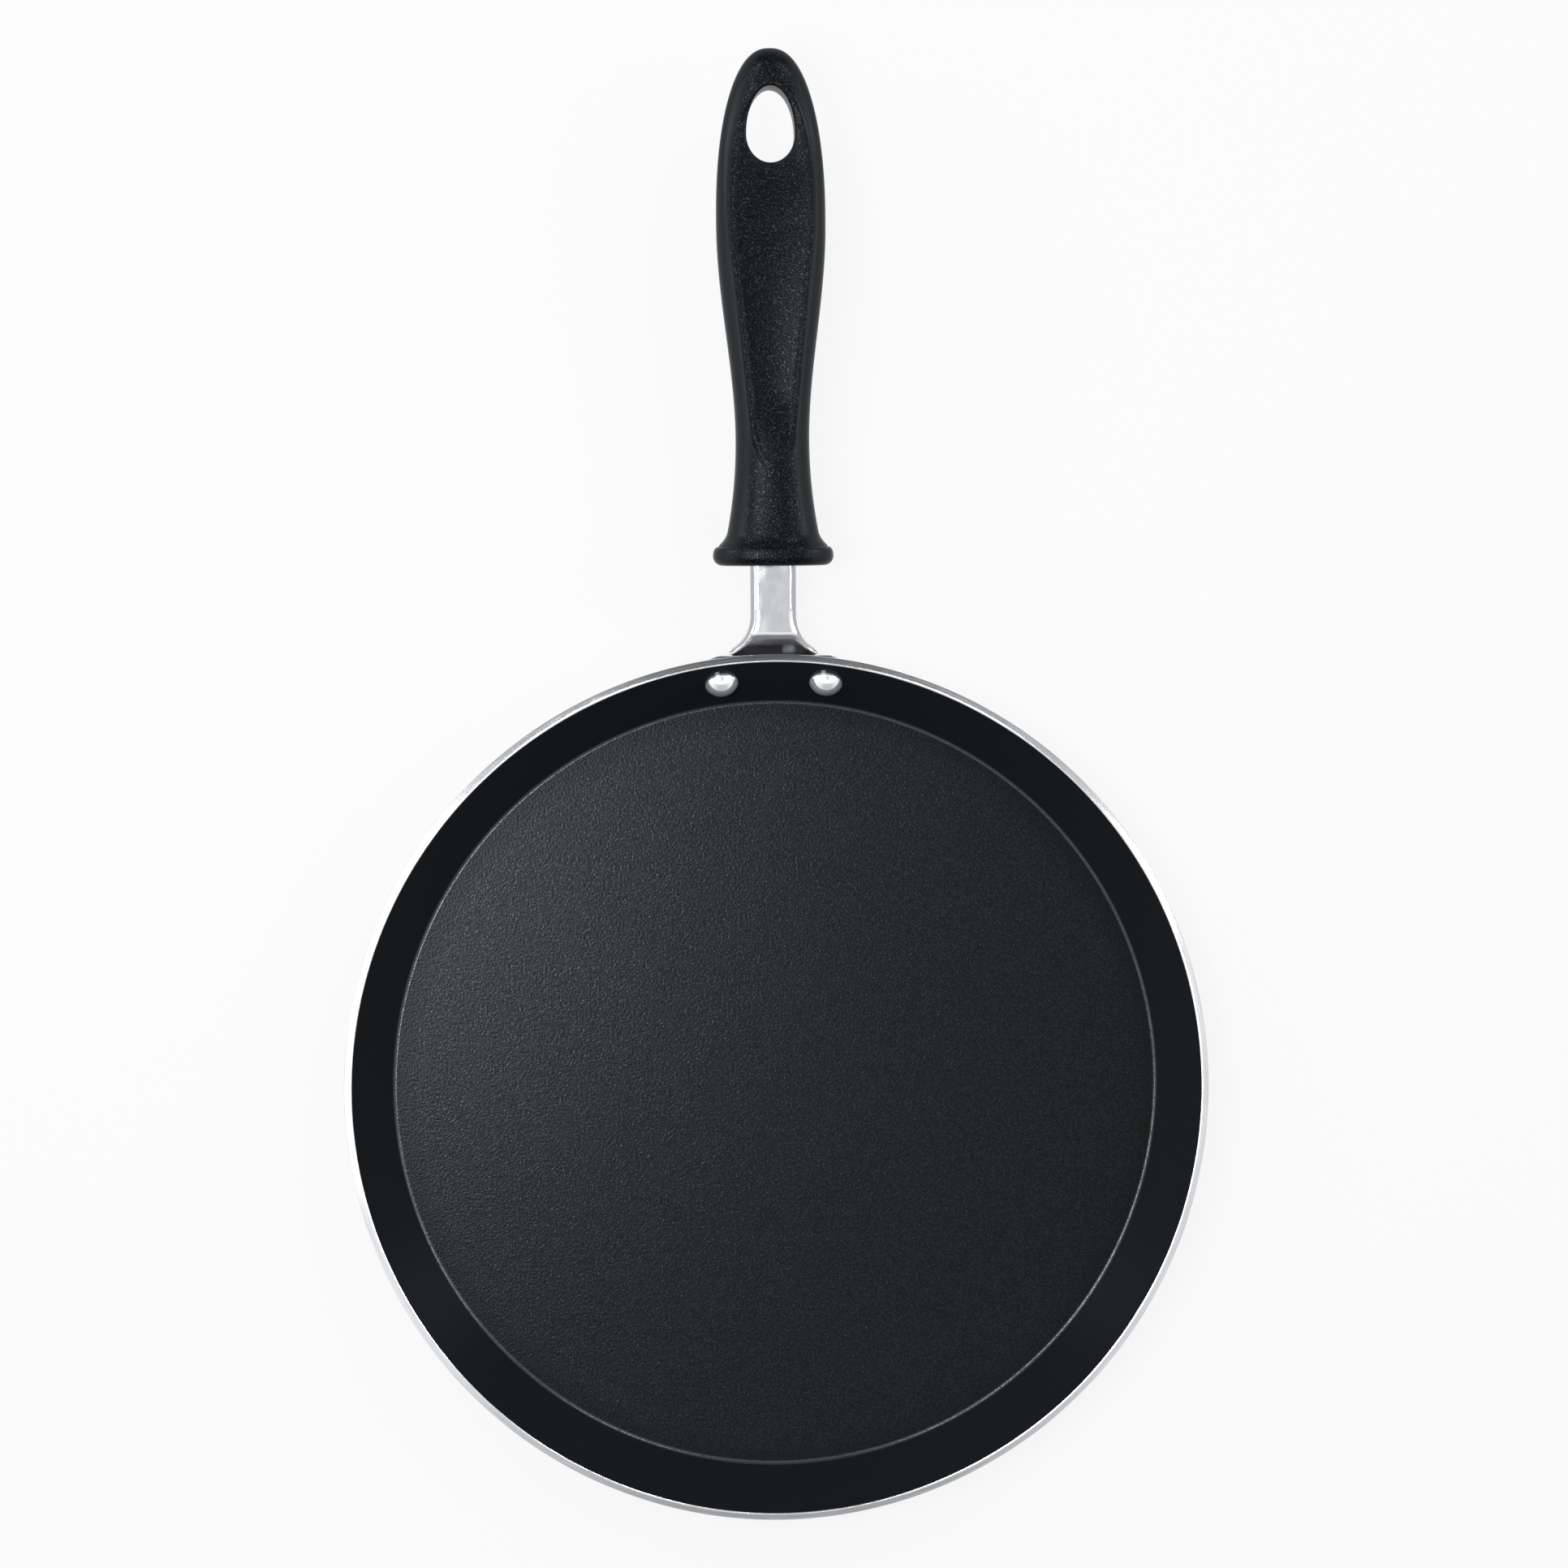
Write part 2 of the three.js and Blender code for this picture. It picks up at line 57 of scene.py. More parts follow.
# %% A term in a sum
class Term:
    """One output socket. Arithmetic on it adds Math nodes to its sheet."""

    def __init__(self, sheet, node, out=0):
        self.sheet = sheet
        self.made = node
        self.socket = node.outputs[out] if node.outputs else None

    def out(self, name):
        return Term(self.sheet, self.made, name)

    def __add__(self, other):
        return self.sheet.math("ADD", self, other)

    def __sub__(self, other):
        return self.sheet.math("SUBTRACT", self, other)

    def __rsub__(self, other):
        return self.sheet.math("SUBTRACT", other, self)

    def __mul__(self, other):
        return self.sheet.math("MULTIPLY", self, other)

    def __truediv__(self, other):
        return self.sheet.math("DIVIDE", self, other)

    def __rtruediv__(self, other):
        return self.sheet.math("DIVIDE", other, self)

    def __pow__(self, other):
        return self.sheet.math("POWER", self, other)

    __radd__ = __add__
    __rmul__ = __mul__


# %% A sheet of nodes
class Sheet:
    """A node tree that is written one node or one sum at a time."""

    def __init__(self, tree):
        self.tree = tree

    def node(self, kind, settings=None, inputs=None, out=0):
        made = self.tree.nodes.new(kind)
        for key, value in (settings or {}).items():
            if key == "choices":
                while len(made.index_switch_items) < value:
                    made.index_switch_items.new()
            else:
                setattr(made, key, value)
        for key, value in (inputs or {}).items():
            if isinstance(value, Term):
                self.tree.links.new(value.socket, made.inputs[key])
            else:
                made.inputs[key].default_value = value
        return Term(self, made, out)

    def math(self, operation, *values):
        inputs = dict(enumerate(values))
        return self.node("ShaderNodeMath", {"operation": operation}, inputs)

    def ease(self, value, start, end, low=0.0, high=1.0):
        """A smooth step from low to high while value goes from start to end."""
        inputs = {"Value": value, "From Min": start, "From Max": end, "To Min": low, "To Max": high}
        return self.node("ShaderNodeMapRange", {"interpolation_type": "SMOOTHSTEP"}, inputs)

    def mix_colour(self, share, first, second):
        inputs = {0: share, 6: first, 7: second}
        return self.node("ShaderNodeMix", {"data_type": "RGBA"}, inputs, out=2)


def grey(value, blue=0.0):
    return (value, value, value * (1.0 + blue), 1.0)


# %% [markdown]
# ## Plain meshes
# Every finished piece is a plain mesh whose object sits at the origin. These helpers make a mesh
# from points in millimetres, skin a row of rings, carve one piece with another, decide which edges
# stay sharp under smooth shading, and store a share for each point for a finish to read.

# %% Mesh helpers
MM = 0.001


def piece_from(name, points, faces):
    mesh = bpy.data.meshes.new(name)
    mesh.from_pydata((np.asarray(points, float) * MM).tolist(), [], faces)
    piece = bpy.data.objects.new(name, mesh)
    bpy.context.scene.collection.objects.link(piece)
    return piece


def ring_faces(rings, around):
    """Quads between closed rings of equal count, and one face over each end."""
    faces = []
    for ring in range(rings - 1):
        for side in range(around):
            start = ring * around + side
            after = ring * around + (side + 1) % around
            faces.append((start, after, after + around, start + around))
    last = (rings - 1) * around
    faces.append(tuple(range(around - 1, -1, -1)))
    faces.append(tuple(range(last, last + around)))
    return faces


def loft(name, rings):
    rings = np.asarray(rings, float)
    count, around = rings.shape[:2]
    return piece_from(name, rings.reshape(-1, 3), ring_faces(count, around))


def settle(piece):
    """The piece as its modifiers leave it, as a plain mesh with no modifiers."""
    graph = bpy.context.evaluated_depsgraph_get()
    plain = bpy.data.meshes.new_from_object(piece.evaluated_get(graph))
    piece.modifiers.clear()
    piece.data = plain
    plain.name = piece.name
    return piece


def tidy_shell(piece, merge=0.0):
    """Merges doubles and turns every face outwards."""
    shell = bmesh.new()
    shell.from_mesh(piece.data)
    if merge:
        bmesh.ops.remove_doubles(shell, verts=shell.verts, dist=merge * MM)
    bmesh.ops.recalc_face_normals(shell, faces=shell.faces)
    shell.to_mesh(piece.data)
    shell.free()
    return piece


def shade(piece, sharp_from):
    """Smooth shading, with edges sharp where faces meet at more than an angle."""
    shell = bmesh.new()
    shell.from_mesh(piece.data)
    limit = math.radians(sharp_from)
    for face in shell.faces:
        face.smooth = True
    for edge in shell.edges:
        edge.smooth = len(edge.link_faces) == 2 and edge.calc_face_angle(0.0) < limit
    shell.to_mesh(piece.data)
    shell.free()
    return piece


def carve(piece, *cutters):
    for cutter in cutters:
        cut = piece.modifiers.new("cut", "BOOLEAN")
        cut.operation = "DIFFERENCE"
        cut.solver = "EXACT"
        cut.object = cutter
    settle(piece)
    for cutter in cutters:
        bpy.data.objects.remove(cutter)
    return piece


def circle(radius, height, turn):
    """Points round the upright axis, one for each turn."""
    across, up = np.broadcast_to(radius, turn.shape), np.full(len(turn), height)
    return np.stack([across * np.cos(turn), across * np.sin(turn), up], axis=-1)


def rod(radius, from_height, to_height, around=64):
    turn = np.linspace(0.0, 2.0 * math.pi, around, endpoint=False)
    return np.array([circle(radius, height, turn) for height in (from_height, to_height)])


def store(piece, name, shares):
    """Stores a share for each point, for a finish to read."""
    layer = piece.data.attributes.new(name, "FLOAT", "POINT")
    layer.data.foreach_set("value", shares.astype(np.float32))
    marked = 100.0 * (shares > 0.5).mean()
    print("%s on %.0f%% of the points of the %s" % (name, marked, piece.name))


def triangles(piece):
    return sum(len(face.vertices) - 2 for face in piece.data.polygons)


def stand_in(piece, slot, *nodes):
    """Lets a finished piece take the place of its solids."""
    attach(piece, "root")
    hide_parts(*nodes)
    print(piece.name, "stands for", ", ".join(nodes), "with", triangles(piece), "triangles")


# %% [markdown]
# ## Sizes that the pieces share
# The dish is fixed by its rim, the slope of its wall and the sheet it is pressed from. Everything
# on the wall is placed by how far it lies down from the rim and how far out from the outer face.

# %% Dish sizes and places on the wall
RIM_RADIUS = 140.0
SHEET = 3.0
DISH_DEPTH = 19.0
WALL_ANGLE = math.radians(57.0)
FLOOR_CORNER = 1.2
RIM_ROUNDING = 0.5
COAT_GAP = 0.05
COAT_THICKNESS = 0.1
WALL_COS = math.cos(WALL_ANGLE)
WALL_SIN = math.sin(WALL_ANGLE)
EDGE_RADIUS = RIM_RADIUS + RIM_ROUNDING * (WALL_COS + WALL_SIN - 1.0)
EDGE_HEIGHT = (SHEET + DISH_DEPTH - (SHEET - RIM_ROUNDING) * WALL_COS
               - RIM_ROUNDING * (1.0 - WALL_SIN))


def on_wall(down, out):
    """Radius and height of a place, by its way down the wall and out from its outer face."""
    radius = EDGE_RADIUS - down * WALL_COS + out * WALL_SIN
    height = EDGE_HEIGHT - down * WALL_SIN - out * WALL_COS
    return radius, height


def off_wall(points):
    """How far points lie out from the outer face of the wall."""
    radius = np.hypot(points[..., 0], points[..., 1])
    return (radius - EDGE_RADIUS) * WALL_SIN - (points[..., 2] - EDGE_HEIGHT) * WALL_COS


print("rim edge at radius %.2f mm and height %.2f mm" % (EDGE_RADIUS, EDGE_HEIGHT))

# %% [markdown]
# ## The turned shells: dish and coat
# A pressed dish is a solid of revolution, so a rule gives its shape: six corners of a section, some
# of them rounded, swept once round the axis. Spin would do it, but as a Geometry Nodes tree the
# sizes stay named inputs, and the same tree makes the thin coat by taking two other offsets from
# the outer face. Fillet Curve rounds the corners and Curve to Mesh sweeps the section.

# %% A tree for shells turned round the axis
SEAM = 0.001
FILLET_POINTS = 14


def named_inputs(tree, sizes, whole=()):
    for name in sizes:
        kind = "NodeSocketInt" if name in whole else "NodeSocketFloat"
        tree.interface.new_socket(name, in_out="INPUT", socket_type=kind)
    tree.interface.new_socket("Finish", in_out="INPUT", socket_type="NodeSocketMaterial")
    tree.interface.new_socket("Geometry", in_out="OUTPUT", socket_type="NodeSocketGeometry")


def sweep_round(sheet, section, facets):
    """Sweeps a section, drawn as radius and height, once round the vertical axis."""
    path_radius = MM
    path = sheet.node("GeometryNodeCurvePrimitiveCircle",
                      inputs={"Resolution": facets, "Radius": path_radius})
    upright = sheet.node("GeometryNodeSetCurveNormal", {"mode": "Z_UP"}, {"Curve": path})
    offset = sheet.node("ShaderNodeCombineXYZ", inputs={"X": -path_radius})
    inset = sheet.node("GeometryNodeSetPosition", inputs={"Geometry": section, "Offset": offset})
    swept = sheet.node("GeometryNodeCurveToMesh", inputs={"Curve": upright, "Profile Curve": inset})
    return sheet.node("GeometryNodeMergeByDistance",
                      inputs={"Geometry": swept, "Distance": SEAM * MM})


def finish_tree(sheet, shape, material):
    real = sheet.node("GeometryNodeRealizeInstances", inputs={"Geometry": shape})
    dressed = sheet.node("GeometryNodeSetMaterial", inputs={"Geometry": real, "Material": material})
    sheet.node("NodeGroupOutput", inputs={"Geometry": dressed})


SHELL_SIZES = ("Edge radius", "Edge height", "Wall angle", "Corner radius", "Outer offset",
               "Inner offset", "Edge cut", "Edge rounding", "Facets")


def shell_tree():
    tree = bpy.data.node_groups.new("turned_shell", "GeometryNodeTree")
    named_inputs(tree, SHELL_SIZES, whole=("Facets",))
    sheet = Sheet(tree)
    given = sheet.node("NodeGroupInput")
    radius, height, angle, corner, outer, inner, cut, rounding, facets = map(given.out, SHELL_SIZES)
    sine = sheet.math("SINE", angle)
    cosine = sheet.math("COSINE", angle)

    def wall_point(down, offset):
        return radius - down * cosine - offset * sine, height - down * sine + offset * cosine

    def floor_point(offset):
        down = (height + offset * cosine - offset) / sine
        return wall_point(down, offset)

    corners = [(0.0, outer), floor_point(outer), wall_point(cut, outer),
               wall_point(cut, inner), floor_point(inner), (0.0, inner)]
    roundings = [0.0, corner - outer, rounding, rounding, corner - inner, 0.0]
    index = sheet.node("GeometryNodeInputIndex")
    places = {"Index": index}
    radii = {"Index": index}
    for order, (across, up) in enumerate(corners):
        flipped = up * -1.0
        places[order + 1] = sheet.node("ShaderNodeCombineXYZ", inputs={"X": across, "Y": flipped})
        radii[order + 1] = roundings[order]
    count = len(corners)
    place = sheet.node("GeometryNodeIndexSwitch", {"data_type": "VECTOR", "choices": count}, places)
    bend = sheet.node("GeometryNodeIndexSwitch", {"data_type": "FLOAT", "choices": count}, radii)
    line = sheet.node("GeometryNodeMeshLine", inputs={"Count": count})
    drawn = sheet.node("GeometryNodeSetPosition", inputs={"Geometry": line, "Position": place})
    section = sheet.node("GeometryNodeMeshToCurve", inputs={"Mesh": drawn})
    rounded = sheet.node("GeometryNodeFilletCurve", {"mode": "POLY"},
                         {"Curve": section, "Count": FILLET_POINTS, "Radius": bend})
    finish_tree(sheet, sweep_round(sheet, rounded, facets), given.out("Finish"))
    return tree


def grow(name, tree, sizes, material):
    """A plain mesh that a tree makes from named sizes."""
    piece = piece_from(name, np.zeros((0, 3)), [])
    making = piece.modifiers.new("making", "NODES")
    making.node_group = tree
    for item in tree.interface.items_tree:
        if item.in_out == "INPUT":
            making[item.identifier] = material if item.name == "Finish" else sizes[item.name]
    return tidy_shell(settle(piece))


turned_shell = shell_tree()
print("turned shell tree with", len(turned_shell.nodes), "nodes")

# %% [markdown]
# ## Finishes
# Each finish is a material with its own small tree. Two things come back in all of them: the place
# on the piece in object coordinates, and one Principled shader. Numbers that are the same all over
# go straight on the shader's sockets, and only what changes over the surface is linked.

# %% A finish
class Finish(Sheet):
    """A material that is written as a sheet."""

    def __init__(self, name):
        self.material = bpy.data.materials.new(name)
        self.material.use_nodes = True
        super().__init__(self.material.node_tree)
        self.tree.nodes.clear()
        self.place = self.node("ShaderNodeTexCoord", out="Object")

    def axes(self):
        parts = self.node("ShaderNodeSeparateXYZ", inputs={0: self.place})
        return parts, parts.out("Y"), parts.out("Z")

    def vector(self, x, y, z):
        return self.node("ShaderNodeCombineXYZ", inputs={"X": x, "Y": y, "Z": z})

    def noise(self, at, size, detail=2.0, roughness=0.5):
        """Noise whose lumps are about a size across, in metres."""
        inputs = {"Vector": at, "Scale": 1.0 / size, "Detail": detail, "Roughness": roughness}
        return self.node("ShaderNodeTexNoise", inputs=inputs)

    def bump(self, height, depth):
        inputs = {"Height": height, "Distance": depth, "Strength": 1.0}
        return self.node("ShaderNodeBump", inputs=inputs)

    def surface(self, inputs):
        shader = self.node("ShaderNodeBsdfPrincipled", inputs=inputs)
        self.node("ShaderNodeOutputMaterial", inputs={"Surface": shader})
        return self.material


# %% [markdown]
# ### Turned aluminium
# The rim is bare metal, cut on a lathe, and the outside of the dish is spun. A lathe leaves fine
# rings. Noise that is very fine across the rings and long round the axis gives their light and dark
# lines, and the same noise roughens the surface a little, so that the rim glints in streaks. The way
# round goes in as a place on a small circle, so the lines close without a seam.

# %% Finish of the dish
def turned_aluminium():
    finish = Finish("dish_aluminium")
    x, y, z = finish.axes()
    radius = (x * x + y * y) ** 0.5
    profile = radius + z * 0.212
    round_x, round_y = x / radius, y / radius
    ring = finish.vector(profile, round_x * 0.0016, round_y * 0.0016)
    lines = finish.noise(ring, 0.00022, detail=3.0, roughness=0.65)
    broad = finish.noise(finish.vector(profile, round_x * 0.006, round_y * 0.006), 0.006)
    glint_patches = finish.noise(finish.place, 0.03, detail=3.0)
    dark, bright = grey(0.62, 0.02), grey(0.92, 0.02)
    colour = finish.mix_colour(finish.ease(lines * 0.6 + broad * 0.4, 0.3, 0.7), dark, bright)
    return finish.surface({
        "Base Color": colour,
        "Metallic": 1.0,
        "Roughness": 0.1 + lines * 0.13 + glint_patches * 0.06,
        "Normal": finish.bump(lines, 0.00003),
    })


dish_finish = turned_aluminium()
print("finish:", dish_finish.name)

# %% The dish
dish_sizes = {
    "Edge radius": EDGE_RADIUS * MM,
    "Edge height": EDGE_HEIGHT * MM,
    "Wall angle": WALL_ANGLE,
    "Corner radius": (SHEET + FLOOR_CORNER) * MM,
    "Outer offset": 0.0,
    "Inner offset": SHEET * MM,
    "Edge cut": 0.0,
    "Edge rounding": RIM_ROUNDING * MM,
    "Facets": 288,
}
dish = shade(grow("dish", turned_shell, dish_sizes, dish_finish), 40.0)
stand_in(dish, "dish_aluminium", "pan_body")

# %% [markdown]
# ### Non-stick coat
# The coat is sprayed over the whole inside. On the floor it carries a fine grain with tiny bright
# flakes, while the wall is smooth and nearly black. Masks on the distance from the axis keep the
# grain on the floor, thin the flakes out beside the wall all the way round as painted shade for the
# shadow that the wall casts, and leave a lighter, more reflective line of flakes in the corner as a
# painted highlight for the bright line that the corner catches. The flakes are specks of dark metal:
# they catch only the light that the coat mirrors, so they sparkle on the lit side and vanish on the
# other.

# %% Finish of the coat
WALL_SHADE_FROM = 0.116
WALL_SHADE_TO = 0.1235
FLOOR_END = 0.1243
CORNER_MIDDLE = 0.125
CORNER_END = 0.1257
CORNER_BLUR = 0.0004


def speckled_coat():
    finish = Finish("nonstick_black")
    x, y, _ = finish.axes()
    radius = (x * x + y * y) ** 0.5
    floor = finish.ease(radius, FLOOR_END, CORNER_MIDDLE, 1.0, 0.0)
    # Fewer flakes beside the wall: painted shade for the shadow of the wall.
    thinned = finish.ease(radius, WALL_SHADE_FROM, WALL_SHADE_TO, 1.0, 0.3)
    past_floor = finish.ease(radius, FLOOR_END, FLOOR_END + CORNER_BLUR)
    corner = past_floor * finish.ease(radius, CORNER_END - CORNER_BLUR, CORNER_END, 1.0, 0.0)
    grain = finish.noise(finish.place, 0.0008, detail=2.0, roughness=0.6)
    flake_seed = finish.noise(finish.place, 0.0006, detail=3.0, roughness=0.7)
    scattered = finish.ease(flake_seed, 0.48, 0.64) * floor * thinned
    # The corner line: a painted highlight, made of lighter and more reflective flakes where the
    # corner catches a bright line of light.
    glint_patches = finish.ease(flake_seed, 0.3, 0.6, 0.2, 0.9) * corner
    metal = finish.math("MAXIMUM", scattered, glint_patches)
    cloud = finish.noise(finish.place, 0.035, detail=3.0)
    base = finish.mix_colour(cloud, (0.0022, 0.0024, 0.0025, 1.0), (0.0034, 0.0035, 0.0036, 1.0))
    toned = finish.mix_colour(floor, (0.0052, 0.0055, 0.0058, 1.0), base)
    flecked = finish.mix_colour(scattered, toned, (0.0195, 0.0213, 0.023, 1.0))
    # Lighter colour of the corner line, a painted highlight.
    lined = finish.mix_colour(glint_patches, flecked, (0.065, 0.068, 0.071, 1.0))
    return finish.surface({
        "Base Color": lined,
        "Metallic": metal * 0.9,
        "Roughness": 0.2 + floor * (0.04 + grain * 0.06),
        "IOR": 1.195,
        "Normal": finish.bump(grain * floor, 0.00012),
    })


coat_finish = speckled_coat()
print("finish:", coat_finish.name)

# %% The coat
coat_sizes = dict(dish_sizes)
coat_sizes["Outer offset"] = (SHEET + COAT_GAP) * MM
coat_sizes["Inner offset"] = (SHEET + COAT_GAP + COAT_THICKNESS) * MM
coat_sizes["Edge cut"] = RIM_ROUNDING * MM
coat_sizes["Edge rounding"] = 0.02 * MM
coat = shade(grow("coat", turned_shell, coat_sizes, coat_finish), 40.0)
stand_in(coat, "nonstick_black", "nonstick_coating")

# %% [markdown]
# ## Rivets
# Two aluminium rivets go square through coat, wall and bracket. The head inside is a polished dome,
# and the tail outside is a lower dome. Both come from one tree: a line of points is bent to the
# section of a rivet, swept round, and then set on the wall by a turn about the axis of the dish.
# A dome is a cap of a sphere on a short straight collar. The collar is the dim arc round the head,
# and the shallow cap keeps its light nearly up to the edge.

# %% A tree for a rivet on the wall
RIVET_SIZES = ("Head diameter", "Head height", "Head collar", "Head seat",
               "Tail diameter", "Tail height", "Tail collar", "Tail seat", "Shank diameter",
               "Wall radius", "Wall height", "Wall angle", "Turn", "Facets")
DOME_POINTS = 26


def dome(sheet, diameter, height, collar, share):
    """Radius and height of a cap on a collar, from its top at share 0 to its foot at share 1."""
    half = diameter * 0.5
    rise = height - collar
    ball = (half * half + rise * rise) / (rise * 2.0)
    reach = sheet.math("ARCTANGENT", rise / half) * 2.0
    angle = reach * sheet.math("MINIMUM", share * (DOME_POINTS - 1.0) / (DOME_POINTS - 2.0), 1.0)
    above_foot = sheet.math("LESS_THAN", share, 0.99)
    up = height - ball * (1.0 - sheet.math("COSINE", angle))
    return ball * sheet.math("SINE", angle), up * above_foot


def rivet_tree():
    tree = bpy.data.node_groups.new("domed_rivet", "GeometryNodeTree")
    named_inputs(tree, RIVET_SIZES, whole=("Facets",))
    sheet = Sheet(tree)
    given = sheet.node("NodeGroupInput")
    size = {name: given.out(name) for name in RIVET_SIZES}
    index = sheet.node("GeometryNodeInputIndex")
    last = DOME_POINTS - 1.0
    head_share = sheet.math("MINIMUM", index / last, 1.0)
    tail_share = sheet.math("MINIMUM", (2.0 * last + 3.0 - index) / last, 1.0)
    head = [size["Head " + part] for part in ("diameter", "height", "collar")]
    tail = [size["Tail " + part] for part in ("diameter", "height", "collar")]
    head_across, head_up = dome(sheet, *head, head_share)
    tail_across, tail_up = dome(sheet, *tail, tail_share)
    on_head = sheet.math("LESS_THAN", index, last + 0.5)
    on_tail = sheet.math("GREATER_THAN", index, last + 2.5)
    on_shank = 1.0 - on_head - on_tail
    below = sheet.math("GREATER_THAN", index, last + 1.5)
    across = head_across * on_head + tail_across * on_tail + size["Shank diameter"] * 0.5 * on_shank
    head_place = size["Head seat"] * -1.0 - head_up * on_head
    tail_place = size["Tail seat"] + tail_up * on_tail
    along = head_place * (1.0 - below) + tail_place * below
    drawn_at = sheet.node("ShaderNodeCombineXYZ", inputs={"X": across, "Y": along * -1.0})
    line = sheet.node("GeometryNodeMeshLine", inputs={"Count": 2 * DOME_POINTS + 2})
    drawn = sheet.node("GeometryNodeSetPosition", inputs={"Geometry": line, "Position": drawn_at})
    section = sheet.node("GeometryNodeMeshToCurve", inputs={"Mesh": drawn})
    upright = sweep_round(sheet, section, size["Facets"])
    turn = sheet.node("ShaderNodeCombineXYZ", inputs={
        "X": size["Wall angle"] - math.pi,
        "Z": size["Turn"] * -1.0,
    })
    place = sheet.node("ShaderNodeCombineXYZ", inputs={
        "X": size["Wall radius"] * sheet.math("SINE", size["Turn"]),
        "Y": size["Wall radius"] * sheet.math("COSINE", size["Turn"]),
        "Z": size["Wall height"],
    })
    set_in = sheet.node("GeometryNodeTransform", inputs={
        "Geometry": upright, "Translation": place, "Rotation": turn})
    finish_tree(sheet, set_in, given.out("Finish"))
    return tree


domed_rivet = rivet_tree()
print("rivet tree with", len(domed_rivet.nodes), "nodes")

# %% [markdown]
# ### Polished rivet heads
# A rivet head is bright and nearly a mirror, with faint scuffs from the tool that closed it. A little
# noise in its roughness and a very shallow bump break up the reflection. The skin of aluminium is a
# little milky, so an eighth of it is matt, which keeps the side that faces the dish grey.

# %% Finish of the rivets
def polished_rivet():
    finish = Finish("rivet_aluminium")
    scuffs = finish.noise(finish.place, 0.0008, detail=4.0, roughness=0.7)
    waves = finish.noise(finish.place, 0.0035, detail=1.0)
    colour = finish.mix_colour(scuffs, grey(0.86, 0.01), grey(0.94, 0.01))
    return finish.surface({
        "Base Color": colour,
        "Metallic": 0.88,
        "Roughness": 0.08 + scuffs * 0.06,
        "Normal": finish.bump(waves + scuffs * 0.12, 0.000015),
    })


rivet_finish = polished_rivet()

# %% The two rivets
RIVET_SPACING = 34.0
RIVET_DOWN = 9.9
HEAD_GAP = 0.05
TAIL_GAP = 0.1
FIT = 0.3
BRACKET_SHEET = 2.2
rivet_radius, rivet_height = on_wall(RIVET_DOWN, 0.0)
rivet_turn = math.asin(RIVET_SPACING / 2.0 / on_wall(RIVET_DOWN, -SHEET)[0])
rivet_sizes = {
    "Head diameter": 10.8 * MM,
    "Head height": 4.1 * MM,
    "Head collar": 0.8 * MM,
    "Head seat": (SHEET + COAT_GAP + COAT_THICKNESS + HEAD_GAP) * MM,
    "Tail diameter": 10.4 * MM,
    "Tail height": 5.0 * MM,
    "Tail collar": 0.6 * MM,
    "Tail seat": (FIT + BRACKET_SHEET + TAIL_GAP) * MM,
    "Shank diameter": 5.0 * MM,
    "Wall radius": rivet_radius * MM,
    "Wall height": rivet_height * MM,
    "Wall angle": WALL_ANGLE,
    "Facets": 72,
}
for side, turn in (("left", -rivet_turn), ("right", rivet_turn)):
    rivet = grow("domed_rivet_" + side, domed_rivet, {**rivet_sizes, "Turn": turn}, rivet_finish)
    stand_in(shade(rivet, 25.0), "rivet_aluminium", "rivet_" + side)

# %% [markdown]
# ## Bracket
# The bracket is one steel stamping: two ears that hug the wall, a channel neck that flares into them,
# and a flat tang inside the grip. A stamping has no sharp inner corners, so the three parts are
# modelled on their own, laid into each other and skinned as one with a fine voxel Remesh. That melts
# the joints into small fillets and rounds the sheared edges, and a few rounds of Smooth even it out.

# %% Neck sizes
NECK_WIDTH = 14.8
NECK_DEPTH = 7.0
NECK_CORNER = 0.6 + BRACKET_SHEET
NECK_LENGTH = 28.8
NECK_RISE = math.radians(5.0)
NECK_BELOW_RIM = 2.0
BEND_AT = 2.6
BEND_RUN = 4.8
BEND_DROP = 5.2
FLARE_RADIUS = 12.5
FLARE_TOP_SHARE = 0.9
CHANNEL_IN_GRIP = 6.0
TANG_WIDTH = 11.0
TANG_IN_GRIP = 36.0
SCREW_AT = 22.0
SCREW_RADIUS = 2.5
neck_foot = Matrix.Translation((0.0, RIM_RADIUS, EDGE_HEIGHT - NECK_BELOW_RIM))
neck_frame = neck_foot @ Matrix.Rotation(NECK_RISE, 4, "X")


def placed(frame_matrix, points):
    turn = np.array(frame_matrix.to_3x3())
    return np.asarray(points, float) @ turn.T + np.array(frame_matrix.translation)


def smoothstep(value, start, end):
    share = np.clip((value - start) / (end - start), 0.0, 1.0)
    return share * share * (3.0 - 2.0 * share)


# %% The channel of the neck
def channel_marks():
    """The corners of the channel's section: which part of it, how far along that, inset and side."""
    half = [("side", share) for share in np.linspace(0.0, 1.0, 9)[:-1]]
    half += [("bend", angle) for angle in np.linspace(0.0, math.pi / 2.0, 11)]
    half += [("web", share) for share in np.linspace(0.0, 1.0, 7)[1:]]
    marks = []
    for inset, outward in ((0.0, True), (BRACKET_SHEET, False)):
        right = [(part, value, inset, 1.0) for part, value in half]
        left = [(part, value, inset, -1.0) for part, value in half[-2::-1]]
        loop = right + left
        marks += loop if outward else loop[::-1]
    return marks


